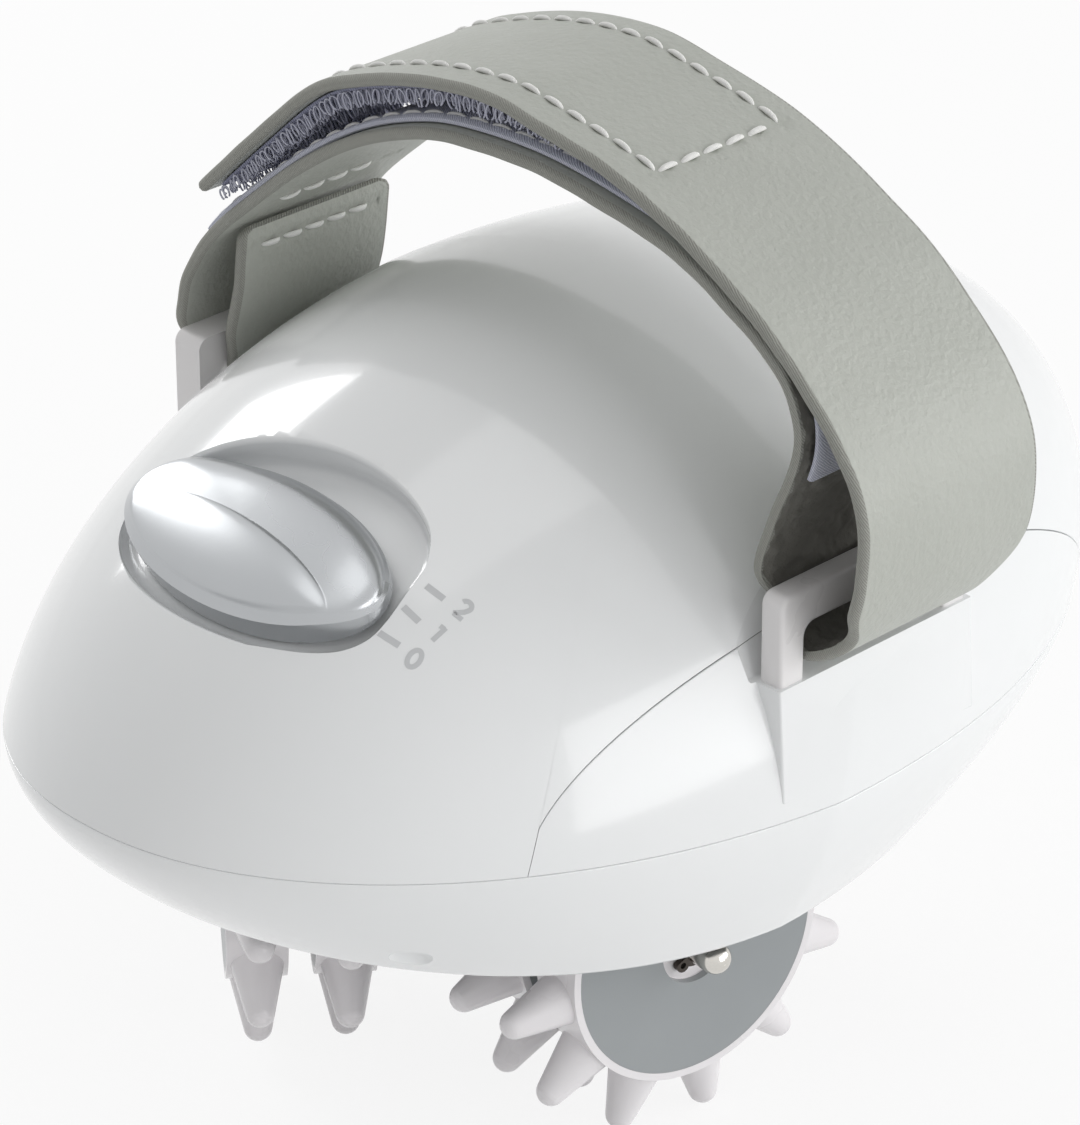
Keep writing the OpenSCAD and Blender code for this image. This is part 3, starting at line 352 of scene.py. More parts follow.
def dome_point(a, b, inset=0.0):
    x, y = plan(a, inset)
    base = seam_at(y)
    return Vector((x * math.cos(b), MID_Y + y * math.cos(b) + DOME_LEAN * math.sin(b),
                   base + (DOME_TOP - inset - base) * math.sin(b)))


def side_point(a, t, inset=0.0):
    x, y = plan(a, inset)
    share = 1 - (1 - RIM_SHARE) * t ** 1.6
    seam = seam_at(y)
    return Vector((x * share, MID_Y + y * share - 1.2 * t, seam + (rim_at(y) - seam) * t))


def surface_normal(f, a, b):
    e = 1e-3
    da = f(a + e, b) - f(a - e, b)
    db = f(a, b + e) - f(a, b - e)
    n = da.cross(db)
    return n.normalized() if n.length > 1e-9 else Vector((0, 0, 1))


def plan_angle(x, y):
    size, power = (NOSE_LEN, NOSE_POWER) if y < 0 else (TAIL_LEN, TAIL_POWER)
    a = math.asin(clamp(spow(y / size, power / 2), -1.0, 1.0))
    return a if x >= 0 else math.pi - a


SOLVER_STEPS = 14


def dome_angles(p):
    """Plan and dome angles of a point on the dome, found by repeated substitution."""
    sin_b = clamp((p.z - SEAM_HEIGHT) / (DOME_TOP - SEAM_HEIGHT), 0.0, 1.0)
    for _ in range(SOLVER_STEPS):
        cos_b = math.sqrt(max(1e-9, 1 - sin_b * sin_b))
        y = clamp((p.y - MID_Y - DOME_LEAN * sin_b) / cos_b, -NOSE_LEN, TAIL_LEN)
        base = seam_at(y)
        sin_b = clamp((p.z - base) / (DOME_TOP - base), 0.0, 0.99995)
    return plan_angle(p.x, y), math.asin(sin_b)


def side_angles(p):
    """Plan angle and height share of a point on the base's side."""
    t = 0.5
    for _ in range(SOLVER_STEPS):
        share = 1 - (1 - RIM_SHARE) * t ** 1.6
        y = clamp((p.y - MID_Y + 1.2 * t) / share, -NOSE_LEN, TAIL_LEN)
        seam = seam_at(y)
        t = clamp((p.z - seam) / (rim_at(y) - seam), 1e-4, 1.0)
    return plan_angle(p.x, y), t


def true_normals(obj, angles, surface):
    """Shades the parts of a mesh that lie on the body's formula with that formula's own normals."""
    mesh = obj.data
    known = {}
    normals = [corner.vector.copy() for corner in mesh.corner_normals]
    for poly in mesh.polygons:
        corners = [mesh.loops[li].vertex_index for li in poly.loop_indices]
        for vi in corners:
            if vi not in known:
                p = mesh.vertices[vi].co / MM
                a, b = angles(p)
                known[vi] = None
                if (surface(a, b) - p).length < 0.012:
                    n = surface_normal(surface, a, b)
                    known[vi] = n if n.dot(p - Vector((0, 0, 45))) > 0 else -n
        whole = all(known[vi] is not None for vi in corners)
        for li, vi in zip(poly.loop_indices, corners):
            n = known[vi]
            if n is not None and (whole or n.dot(poly.normal) > 0.96):
                normals[li] = n
    mesh.normals_split_custom_set(normals)


PANEL_MID_Y, PANEL_HALF_LEN, PANEL_RISE, PANEL_POWER = 10.2, 49.8, 23.0, 1.8
PANEL_BASE = SEAM_HEIGHT + 1.5


def panel_side(p, grow):
    """Negative inside the side panel's outline, positive outside."""
    u = abs(p.y - PANEL_MID_Y) / (PANEL_HALF_LEN + grow)
    v = max(0.0, p.z - PANEL_BASE) / (PANEL_RISE - 1.5 + grow)
    return u ** PANEL_POWER + v ** PANEL_POWER - 1


def bisect(inside, low, high, steps):
    """Narrows the range whose low end is inside and whose high end is outside."""
    for _ in range(steps):
        mid = (low + high) / 2
        if inside(mid):
            low = mid
        else:
            high = mid
    return low, high


def panel_top(a, grow):
    """Dome angle at which the panel's outline crosses the column at plan angle a."""
    if panel_side(dome_point(a, 0), grow) >= 0:
        return 0.0
    return bisect(lambda b: panel_side(dome_point(a, b), grow) < 0, 0.0, math.radians(60), 40)[0]


def panel_tip(sign, grow):
    """Plan angle of the panel's front (-1) or rear (1) tip on the right side."""
    return sum(bisect(lambda a: panel_side(dome_point(a, 0), grow) < 0, 0.0, sign * math.radians(89), 50)) / 2


SEAM_GAP, WALL_T = 0.03, 2.2
EDGE_R = 0.2
EDGE_STEPS = (0.0, 0.02, 0.05, 0.1, 0.15, 0.2)


def edge_drop(d):
    return 0.0 if d >= EDGE_R else EDGE_R - math.sqrt(max(0.0, EDGE_R ** 2 - (EDGE_R - d) ** 2))


def steps_to(reach, pitch):
    """Distances from the seam edge: fine at the edge, then even."""
    steps = list(EDGE_STEPS) + [0.6, 1.0]
    while steps[-1] < reach:
        steps.append(steps[-1] + pitch)
    return steps


def columns(count=460):
    tips = []
    for sign in (-1, 1):
        tip = panel_tip(sign, SEAM_GAP)
        for e in (-3e-3, -2e-4, 2e-4, 8e-4, 2e-3, 4e-3, 7e-3, 0.011):
            tips += [tip - sign * e, math.pi - tip + sign * e]
    cols = [2 * math.pi * i / count - math.pi / 2 for i in range(count)] + \
        [(t + math.pi / 2) % (2 * math.pi) - math.pi / 2 for t in tips]
    return sorted(cols)


def right_angle(a):
    """The matching plan angle on the right side, where the panel's outline is worked out."""
    return a if math.cos(a) >= 0 else math.pi - a


LOOP_MID_Y, LOOP_FACE, LOOP_T, LOOP_TOP, BAR_H = 7.5, 51.2, 3.4, 78.7, 4.6
SLOT_LEN, LEG_W, LEG_LEN = 24.0, 4.0, 20.5
BAR_LOW, LOOP_X, LOOP_LEN = LOOP_TOP - BAR_H, LOOP_FACE - LOOP_T, SLOT_LEN + 2 * LEG_W
POCKET_FLOOR = BAR_LOW - 6.8


def wall_at(p):
    """Wall of the housing: thicker below the knob's dish and behind the pockets of the loops."""
    dish = math.hypot((p.x - 0.5) / 24, (p.y - KNOB_Y) / 15)
    pocket = max(abs(p.y - LOOP_MID_Y) / (LOOP_LEN / 2 + 3), (44 - abs(p.x)) / 6, (61 - p.z) / 4, 0)
    return WALL_T + 4.6 * eased((1.35 - dish) / 0.3) + 3.9 * eased((1.2 - pocket) / 0.2)


def dome_mesh():
    """Top shell as one closed sheet: outer skin, seam wall and inner skin."""
    cols = columns()
    tops = {}
    for a in cols:
        key = round(right_angle(a), 9)
        if key not in tops:
            tops[key] = panel_top(right_angle(a), SEAM_GAP)
    starts = [tops[round(right_angle(a), 9)] for a in cols]
    reach = 92.0
    steps = steps_to(reach, 1.35)
    rows_out = []
    for d in (step * reach / steps[-1] for step in steps):
        row = []
        for a, b0 in zip(cols, starts):
            first = b0 + math.radians(SEAM_GAP / 0.9)
            b = first + (math.pi / 2 - first) * d / reach
            n = surface_normal(dome_point, a, min(b, math.radians(89)))
            row.append(dome_point(a, b) - n * edge_drop(d))
        rows_out.append(row)
    rows_in = []
    for i in range(41):
        row = []
        for a, b0 in zip(cols, starts):
            b = b0 + (math.pi / 2 - b0) * i / 40
            row.append(dome_point(a, b, wall_at(dome_point(a, b))))
        rows_in.append(row)
    rows = rows_in[::-1] + rows_out
    return [p for row in rows for p in row], ring_faces(len(cols), len(rows))


# Frame of the knob

KNOB_TILT, KNOB_SPOT = math.radians(28), math.radians(39.8)
NOSE_BASE = seam_at(-NOSE_LEN)
KNOB_Y = MID_Y - NOSE_LEN * math.cos(KNOB_SPOT) + DOME_LEAN * math.sin(KNOB_SPOT)
KNOB_Z = NOSE_BASE + (DOME_TOP - NOSE_BASE) * math.sin(KNOB_SPOT)
KNOB_HALF_LEN, KNOB_HALF_W = 20.2, 9.9
KNOB_PIVOT_X, KNOB_REACH = -12.5, 12.95
KNOB_REST, KNOB_STEP = math.radians(-1.5), math.radians(6.5)
DISH_DEPTH, DISH_PLAY, DISH_FRONT = 4.9, 1.0, 1.2
KNOB_UNDER = -DISH_DEPTH + 0.3
KNOB_FRAME = Matrix.Translation((0, KNOB_Y, KNOB_Z)) @ Matrix.Rotation(KNOB_TILT, 4, "X")


def knob_place(angle, front=0.0, lift=0.0):
    return (KNOB_FRAME @ Matrix.Translation((KNOB_PIVOT_X, 0, 0)) @ Matrix.Rotation(angle, 4, "Z")
            @ Matrix.Translation((KNOB_REACH, -front, lift)))


def dish_outline(grow, count=160):
    """Convex outline round the knob at its two end positions, in the knob's frame."""
    pts = []
    inverse = KNOB_FRAME.inverted()
    for angle, front in ((KNOB_REST, 0), (KNOB_REST, DISH_FRONT), (KNOB_REST + 2 * KNOB_STEP, 0)):
        place = inverse @ knob_place(angle, front)
        for t in round_angles(count):
            pts.append(place @ Vector(((KNOB_HALF_LEN + grow) * math.cos(t),
                                       (KNOB_HALF_W + grow) * math.sin(t), 0)))
    pts.sort(key=lambda p: (p.x, p.y))

    def half(seq):
        out = []
        for p in seq:
            while len(out) > 1 and ((out[-1].x - out[-2].x) * (p.y - out[-2].y)
                                    - (out[-1].y - out[-2].y) * (p.x - out[-2].x)) <= 0:
                out.pop()
            out.append(p)
        return out[:-1]
    hull = half(pts) + half(pts[::-1])
    ring = np.array(hull + hull[:1], float)
    lengths = run_lengths(ring)
    even = np.linspace(0, lengths[-1], count, endpoint=False)
    return [Vector(p) for p in zip(*(np.interp(even, lengths, ring[:, k]) for k in range(3)))]


def dish_tool(shell):
    """Cutter for the knob's dish, with a filleted floor and a lip that rolls into the dome."""
    tree = BVHTree.FromObject(shell, bpy.context.evaluated_depsgraph_get())
    normal = KNOB_FRAME.to_3x3() @ Vector((0, 0, 1))
    outline = dish_outline(DISH_PLAY)
    count = len(outline)
    centre = sum(outline, Vector()) / count
    fillet, lip = 1.7, 0.8

    def floor_at(p):
        """The floor falls a little towards both ends."""
        return -DISH_DEPTH - 0.9 * eased((abs(p.x) - 11) / 9)

    def dome_at(p):
        hit = tree.ray_cast(KNOB_FRAME @ Vector((p.x, p.y, 30)) * MM, -normal)
        return (KNOB_FRAME.inverted() @ (hit[0] / MM)).z if hit[0] else -20

    spots = []
    for i, p in enumerate(outline):
        t = outline[(i + 1) % count] - outline[i - 1]
        spots.append((p, Vector((t.y, -t.x, 0)).normalized(), dome_at(p)))

    def ring(shift, height):
        """Outline moved outward by shift, at the height that height(p, top) gives."""
        return [Vector((*(p + out * shift).xy, height(p, top))) for p, out, top in spots]

    rows = []
    for k in range(1, 10):
        inner = [centre + (p - out * fillet - centre) * (k / 10) for p, out, top in spots]
        rows.append([Vector((*q.xy, floor_at(q))) for q in inner])
    arc = [math.pi / 2 * k / 6 for k in range(7)]
    for a in arc:
        rows.append(ring(fillet * (math.sin(a) - 1), lambda p, top: floor_at(p) + fillet * (1 - math.cos(a))))
    for a in arc:
        rise = lip * math.sin(a) * (1.02 if a == arc[-1] else 1.0)
        rows.append(ring(lip * (1 - math.cos(a)),
                         lambda p, top: max(top - lip, floor_at(p) + fillet + 0.02) + rise))
    rows.append(ring(lip + 0.6, lambda p, top: top + 0.8))
    rows.append(ring(0, lambda p, top: 14))
    rows = [[KNOB_FRAME @ p for p in row] for row in rows]
    return tubes("dish_tool", [rows], WHITE, 40, True)


def make_top_shell():
    shell = new_object("top_shell_skin", *dome_mesh(), [WHITE])
    cut(shell, [dish_tool(shell), rod((0, 70, 63), (0, 90, 63), 4.15, 64)] + pocket_tools())
    smooth_by_angle(shell, 35)
    true_normals(shell, dome_angles, dome_point)
    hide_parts("top_shell")
    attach(shell, "housing")
    return shell


def extrude(outline, reach):
    """Prism from a closed outline of points in mm, extruded by reach."""
    bm = bmesh.new()
    face = bm.faces.new([bm.verts.new(metres(p)) for p in outline])
    up = bmesh.ops.extrude_face_region(bm, geom=[face])["geom"]
    bmesh.ops.translate(bm, verts=[v for v in up if isinstance(v, bmesh.types.BMVert)], vec=metres(reach))
    return bm


def bevelled(bm, name, edges, offset, segments, material):
    bmesh.ops.bevel(bm, geom=edges, offset=offset * MM, segments=segments, affect="EDGES", profile=0.5)
    mesh = bpy.data.meshes.new(name)
    finish_mesh(bm, mesh)
    mesh.materials.append(material)
    return linked(name, mesh)


def prism(name, profile, low_y, high_y, sign, bevel):
    """Solid from a closed XZ outline, drawn on the right side and mirrored where sign is -1."""
    bm = extrude([(sign * x, low_y, z) for x, z in profile], (0, high_y - low_y, 0))
    return bevelled(bm, name, list(bm.edges), bevel, 3, WHITE)


def pocket_tools(sides=(-1, 1)):
    half = LOOP_LEN / 2 + 1.5
    profile = [(LOOP_X - 0.8, POCKET_FLOOR), (60, POCKET_FLOOR), (60, LOOP_TOP + 6),
               (LOOP_X - 5.2, LOOP_TOP + 2), (LOOP_X - 4.3, BAR_LOW + 2)]
    return [prism("pocket_tool", profile, LOOP_MID_Y - half, LOOP_MID_Y + half, s, 0.4) for s in sides]


def make_side_panel(sign, name):
    """Leaf-shaped panel, conforming to the gap in the top shell, with the bosses of the loop."""
    front, rear = panel_tip(-1, -SEAM_GAP), panel_tip(1, -SEAM_GAP)
    count, skin_rows, steps = 200, 30, len(EDGE_STEPS) - 1
    cols = []
    for i in range(count + 1):
        a = front + (rear - front) * (1 - math.cos(math.pi * i / count)) / 2
        high = max(panel_top(a, -SEAM_GAP), 1e-5)
        cols.append((a, min(math.radians(SEAM_GAP / 0.9), high * 0.5), high))

    def inner(a, b):
        return dome_point(a, b, wall_at(dome_point(a, b)))

    def skin(index, a, low, high):
        """Point of one row of the outer face, rounded off towards both edges."""
        size = (dome_point(a, high) - dome_point(a, low)).length
        ends = min(EDGE_R, size / 2)
        if index <= steps:
            d = EDGE_STEPS[index] * ends / EDGE_R
        elif index >= skin_rows - steps:
            d = size - EDGE_STEPS[skin_rows - index] * ends / EDGE_R
        else:
            d = ends + (size - 2 * ends) * ((index - steps) / (skin_rows - 2 * steps))
        b = low + (high - low) * (d / size if size > 1e-6 else 0)
        n = surface_normal(dome_point, a, b)
        return dome_point(a, b) - n * max(edge_drop(d), edge_drop(size - d))

    rows = [[inner(a, low) for a, low, high in cols]]
    rows += [[skin(k, *col) for col in cols] for k in range(skin_rows + 1)]
    rows.append([inner(a, high) for a, low, high in cols])
    last = (len(rows) - 1) * len(cols)
    faces = ring_faces(len(cols), len(rows), closed=False)
    faces += [(i, last + i, last + i + 1, i + 1) for i in range(count)]
    panel = new_object(name + "_skin", [(sign * p.x, p.y, p.z) for row in rows for p in row], faces, [WHITE])
    cut(panel, [ledge(sign)], "UNION")
    cut(panel, pocket_tools((sign,)))
    smooth_by_angle(panel, 35)
    true_normals(panel, dome_angles, dome_point)
    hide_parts(name)
    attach(panel, "housing")


def ledge(sign):
    """Block that carries the legs of a loop; its outer face stands out below the pocket."""
    face, back, top, foot = LOOP_FACE + 0.4, LOOP_X - 1.6, POCKET_FLOOR + 0.6, POCKET_FLOOR - 14.3
    profile = [(back, top), (face, top), (face + 1.05, foot), (face - 2, foot), (back, POCKET_FLOOR - 11)]
    half = LOOP_LEN / 2 + 0.6
    return prism("ledge", profile, LOOP_MID_Y - half, LOOP_MID_Y + half, sign, 0.3)


def make_loop(sign, name):
    """U-shaped bar of a strap loop, with rounded corners and edges."""
    half, w, r, low = LOOP_LEN / 2, SLOT_LEN / 2, 1.6, LOOP_TOP - LEG_LEN

    def arc(cy, cz, a0, a1):
        angles = [math.radians(a0 + (a1 - a0) * i / 8) for i in range(9)]
        return [(cy + r * math.cos(a), cz + r * math.sin(a)) for a in angles]
    profile = [(half, low), *arc(half - r, LOOP_TOP - r, 0, 90), *arc(-half + r, LOOP_TOP - r, 90, 180),
               (-half, low), (-w, low), *arc(-w + r, BAR_LOW - r, 180, 90), *arc(w - r, BAR_LOW - r, 90, 0),
               (w, low)]
    bm = extrude([(LOOP_X, LOOP_MID_Y + y, z) for y, z in profile], (LOOP_T, 0, 0))
    # The mirrored left loop is inside out when it is bevelled, so its rims end 0.55 mm further out.
    for v in bm.verts:
        v.co.x *= sign
    rim = [e for e in bm.edges if len(e.link_faces) == 2
           and e.calc_face_angle(0) > math.radians(60)
           and abs(e.verts[0].co.x - e.verts[1].co.x) < 1e-6 and min(v.co.z for v in e.verts) > low * MM]
    obj = bevelled(bm, name + "_form", rim, 0.55, 4, LOOP_WHITE)
    smooth_by_angle(obj, 35)
    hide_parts(name)
    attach(obj, "housing")


WELL_R = 44.2
NOTCH_START, NOTCH_END, NOTCH_R = (29.0, -49.6, 40.1), (32.2, -45.0, 39.3), 1.9


def notch_tool(shell):
    """Round-ended cutter for the small notch at the front right of the rim, shallow at its front."""
    tree = BVHTree.FromObject(shell, bpy.context.evaluated_depsgraph_get())
    start, n0 = (v for v in tree.find_nearest(Vector(NOTCH_START) * MM)[:2])
    end, n1 = (v for v in tree.find_nearest(Vector(NOTCH_END) * MM)[:2])
    a, b = start / MM + n0 * 1.15, end / MM + n1 * 0.85
    axis = (b - a).normalized()
    side = axis.cross(n1).normalized()
    up = side.cross(axis)
    rows = []
    for k in range(1, 25):
        t = -1 + 2 * k / 25
        r = NOTCH_R * math.sqrt(max(0.0, 1 - abs(t) ** 3))
        rows.append(ring_at(a.lerp(b, 0.5 + t / 2), side * r, up * r, 32))
    return tubes("notch_tool", [rows], WHITE)


def make_base_shell():
    cols = columns()
    rows = [[side_point(a, 0.02, WALL_T) for a in cols]]
    depth, gap = 23.0, SEAM_GAP / 20
    steps = steps_to(depth - 1.4, 1.3)
    for d in steps:
        t = gap + d / depth
        rows.append([side_point(a, t) + surface_normal(side_point, a, max(t, 1e-3)) * edge_drop(d)
                     for a in cols])
    # rounded lower rim, then the flat underside in to the well, then up the well's wall
    rim_r = 1.3
    t0 = steps[-1] / depth + gap
    for k in range(1, 7):
        g = math.pi / 2 * k / 6
        row = []
        for a in cols:
            p = side_point(a, t0 + (1 - t0) * math.sin(g))
            row.append(p + Vector((-p.x, -(p.y + 3), 0)).normalized() * rim_r * (1 - math.cos(g)))
        rows.append(row)

    def at_well(p, more):
        return Vector((p.x, p.y, 0)).normalized() * (WELL_R + more)

    last = rows[-1]
    for f in (0.12, 0.3, 0.5, 0.7, 0.88, 1.0):
        flat = [p.lerp(at_well(p, 0.35), f) for p in last]
        rows.append([Vector((q.x, q.y, rim_at((q.y + 2.2) / RIM_SHARE))) for q in flat])
    lip = rows[-1]
    for lift, more in ((0.1, 0.12), (0.35, 0.0), (3.0, 0.0), (12.0, 0.0)):
        rows.append([Vector((*at_well(p, more).xy, min(42.0, p.z + lift))) for p in lip])
    points = [p for row in rows for p in row]
    shell = new_object("base_shell_skin", points, ring_faces(len(cols), len(rows)), [WHITE])
    close = shell.modifiers.new("wall", "SOLIDIFY")
    close.thickness = 1.2 * MM
    close.offset = -1
    apply_modifiers(shell)
    tools = [rod((x, y, 20), (x, y, 43.9), 3.1) for x, y in ((9, -53), (-9, -53), (14, 57), (-14, 57))]
    cut(shell, tools + [notch_tool(shell)])
    smooth_by_angle(shell, 35)
    true_normals(shell, side_angles, side_point)
    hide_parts("base_shell")
    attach(shell, "housing")


# Speed knob: an upright wall, a bevel, a shallow dome and a raised leaf-shaped grip

WALL_H, BEVEL, BEVEL_RISE, DOME_H, LEAF_H = 3.3, 1.1, 0.9, 1.7, 1.15
LEAF_MID, LEAF_HALF, LEAF_TURN = (-0.5, -3.95), (17.9, 4.9), math.radians(-3)


def shoulder(angle):
    """One at the back right, where the wall runs out into a rounded shoulder, zero at the front left."""
    return eased((math.cos(angle - math.radians(55)) + 0.1) / 0.9)


def knob_rim(angle):
    """Height of the wall, width and rise of the bevel at one place of the outline."""
    low = shoulder(angle)
    return WALL_H - 2.0 * low, BEVEL * (1 - 0.7 * low), BEVEL_RISE * (1 - 0.5 * low)


def knob_height(angle, r):
    low = shoulder(angle)
    wall, bevel, rise = knob_rim(angle)
    top = WALL_H + BEVEL_RISE + DOME_H
    height = wall + rise + (top - wall - rise) * (1 - r ** (2 + 0.6 * low)) ** (0.7 - 0.2 * low)
    u = (KNOB_HALF_LEN - bevel) * r * math.cos(angle)
    v = (KNOB_HALF_W - bevel) * r * math.sin(angle)
    du, dv = u - LEAF_MID[0], v - LEAF_MID[1]
    c, k = math.cos(-LEAF_TURN), math.sin(-LEAF_TURN)
    e = math.hypot((du * c - dv * k) / LEAF_HALF[0], (du * k + dv * c) / LEAF_HALF[1])
    crown = max(0.0, 1 - e ** 3) ** 0.7 * (0.2 + 0.8 * eased((u + 15) / 24))
    return height + LEAF_H * crown * eased((1 - r) / 0.035)


def make_knob():
    count, dome_rows = 480, 90
    rims = [(t, *knob_rim(t)) for t in round_angles(count)]
    # levels of the side: inset, share of the bevel, height, share of the wall, share of the rise
    levels = [(0.3, 0, 0.0, 0, 0)]
    levels += [(0.25 * (1 - math.sin(a)), 0, 0.25 * (1 - math.cos(a)), 0, 0)
               for a in (math.pi / 2 * k / 4 for k in range(5))]
    levels += [(0, 0, 0, f, 0) for f in (0.4, 0.7, 0.95)]
    levels += [(0, f, 0, 1, f) for f in (0.0, 0.06, 0.15, 0.3, 0.5, 0.7, 0.85, 0.95, 1.0)]
    rows = []
    for inset, in_part, lift, wall_part, rise_part in levels:
        rows.append([((KNOB_HALF_LEN - inset - bevel * in_part) * math.cos(t),
                      (KNOB_HALF_W - inset - bevel * in_part) * math.sin(t),
                      lift + wall * wall_part + rise * rise_part) for t, wall, bevel, rise in rims])
    for k in range(1, dome_rows):
        f = 1 - (k / dome_rows) ** 1.25
        rows.append([((KNOB_HALF_LEN - bevel) * f * math.cos(t), (KNOB_HALF_W - bevel) * f * math.sin(t),
                      knob_height(t, f)) for t, wall, bevel, rise in rims])
    place = knob_place(KNOB_REST, 0, KNOB_UNDER)
    rows = [[place @ Vector(p) for p in row] for row in rows]
    knob = tubes("speed_knob_form", [rows], SILVER, 28, merge=True)
    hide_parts("speed_knob")
    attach(knob, "knob")


# Strap. Its middle line is drawn in the XZ plane, with heights above the underside of the bars.

STRAP_W, TAB_W, NECK_W, STRAP_T, BAR_PLAY = 29.8, 25.4, 23.2, 1.6, 0.4
SKIN_GAP, LOOP_TAPE_T, HOOK_TAPE_T, TAPE_W = 0.12, 1.1, 0.8, 26.0
TAB_LINE = [(-42.9, 19.7), (-43.3, 16.5), (-43.8, 12.5), (-44.5, 9), (-45.7, 5)]
HAND_LINE = [
    (-52.6, 4.3), (-52.2, 7.3), (-50.8, 12.1), (-46.3, 18.6), (-39.2, 25.1), (-29.5, 32.9), (-20.5, 38.6),
    (-11.7, 42.3), (-3.1, 44.2), (10, 44.6), (22.6, 42.9), (33.6, 40.2), (41.6, 36.1), (47.2, 32.5),
    (50.7, 28.3), (51.4, 22.2), (48.1, 13.2), (46, 6.3)]
COVER_LINE = [
    (53.6, -3.1), (57, -0.3), (59.6, 4), (61.1, 9.1), (61.3, 15.5), (60.1, 20.3), (57, 25.4),
    (52.5, 30.1), (45.4, 36.1), (38, 40.4), (31.1, 43.9), (22.5, 47.1), (11.8, 49.4),
    (2.5, 50.8), (-8.7, 49.7), (-20.3, 46.4), (-27.9, 42.7), (-38.4, 33.5), (-48.3, 24.2)]


WRAP_R = LOOP_T / 2 + BAR_PLAY + STRAP_T / 2
LEFT_WRAP = [(WRAP_R * math.cos(a) - LOOP_X - LOOP_T / 2, 0.8 + WRAP_R * math.sin(a))
             for a in (-math.pi * k / 4 for k in range(5))]
RIGHT_WRAP = [(46.6, 0.8), (47.2, -2.2), (50, -4.3)]
STRAP_LINE = TAB_LINE + LEFT_WRAP + HAND_LINE + RIGHT_WRAP + COVER_LINE


class Route:
    """Smooth line through given points, walked by its length in millimetres."""

    def __init__(self, line, pitch=0.5, fine=12):
        pts = []
        n = len(line)
        for i in range(n - 1):
            a, b, c, d = (np.array(line[min(n - 1, max(0, i + k))], float) for k in (-1, 0, 1, 2))
            for k in range(fine):
                t = k / fine
                pts.append(0.5 * (2 * b + (c - a) * t + (2 * a - 5 * b + 4 * c - d) * t ** 2
                                  + (3 * b - a - 3 * c + d) * t ** 3))
        pts.append(np.array(line[-1], float))
        pts = np.array(pts)
        lengths = run_lengths(pts)
        self.total = float(lengths[-1])
        self.s = np.linspace(0, self.total, int(self.total / pitch) + 1)
        self.x = np.interp(self.s, lengths, pts[:, 0])
        self.z = np.interp(self.s, lengths, pts[:, 1]) + BAR_LOW
        dx, dz = np.gradient(self.x), np.gradient(self.z)
        size = np.hypot(dx, dz)
        self.nx, self.nz = -dz / size, dx / size

    def place(self, s):
        return tuple(float(np.interp(s, self.s, v)) for v in (self.x, self.z, self.nx, self.nz))

    def spot(self, s, y, off):
        x, z, nx, nz = self.place(s)
        return Vector((x + nx * off, y, z + nz * off))

    def near(self, x, z, low=0.0, high=1e9):
        """Length at which the route passes closest to a place in the XZ plane."""
        d = np.hypot(self.x - x, self.z - z) + np.where((self.s < low) | (self.s > high), 1e6, 0)
        return float(self.s[int(np.argmin(d))])


strap = Route(STRAP_LINE)
HAND_START = strap.near(-52.6, BAR_LOW + 4.3)
HAND_END = strap.near(46, BAR_LOW + 6.3, HAND_START + 60)
COVER_START = strap.near(53.6, BAR_LOW - 3.1, HAND_END)
NEAR_LINE, FAR_LINE = LOOP_MID_Y - 9.7, LOOP_MID_Y + 10.7
CROSS_S = COVER_START + 71.0


def half_width(s):
    x, z, _, _ = strap.place(s)
    inside = abs(x) < LOOP_FACE + 0.2
    low, high = (BAR_LOW + 0.5, BAR_LOW + 5.5) if inside else (BAR_LOW - 1, BAR_LOW + 6)
    wide = TAB_W if s < HAND_START - 5 else STRAP_W
    w = (NECK_W + (wide - NECK_W) * eased((z - low) / (high - low))) / 2
    corner = 1.5
    for end in (s, strap.total - s):
        if end < corner:
            w -= corner - math.sqrt(max(0.0, corner ** 2 - (corner - end) ** 2))
    return w


def stitch_runs():
    """Stitch lines as (side, start, end); start and end are (length, y). Side -1 is the outer face."""
    tail = strap.total - 5.0
    return [
        (-1, (CROSS_S, NEAR_LINE), (tail, NEAR_LINE)),
        (-1, (CROSS_S, FAR_LINE), (tail, FAR_LINE)),
        (-1, (CROSS_S, NEAR_LINE), (CROSS_S, FAR_LINE)),
        (-1, (tail, NEAR_LINE), (tail, FAR_LINE)),
        (1, (2.6, LOOP_MID_Y - 9.6), (2.6, LOOP_MID_Y + 9.0)),
        (-1, (HAND_START + 25, LOOP_MID_Y - 9.4), (HAND_START + 27, LOOP_MID_Y + 8.5)),
    ]


STITCH_PITCH, STITCH_LEN, CURL_R = 3.7, 3.5, 0.12
RUNS = stitch_runs()


def groove(s, y, side):
    """Depth to which the thread pulls the leather in."""
    depth = 0.0
    for face, (s0, y0), (s1, y1) in RUNS:
        if face != side:
            continue
        ds, dy = s1 - s0, y1 - y0
        size = math.hypot(ds, dy)
        t = ((s - s0) * ds + (y - y0) * dy) / size
        if t < -1.5 or t > size + 1.5:
            continue
        away = abs((s - s0) * dy - (y - y0) * ds) / size
        if away > 2.2:
            continue
        hole = 0.5 + 0.5 * math.cos(2 * math.pi * (t / STITCH_PITCH - 0.5))
        depth = max(depth, (0.16 + 0.2 * hole ** 3) * math.exp(-(away / 0.6) ** 2)
                    - 0.05 * math.exp(-((away - 1.4) / 0.5) ** 2))
    return depth


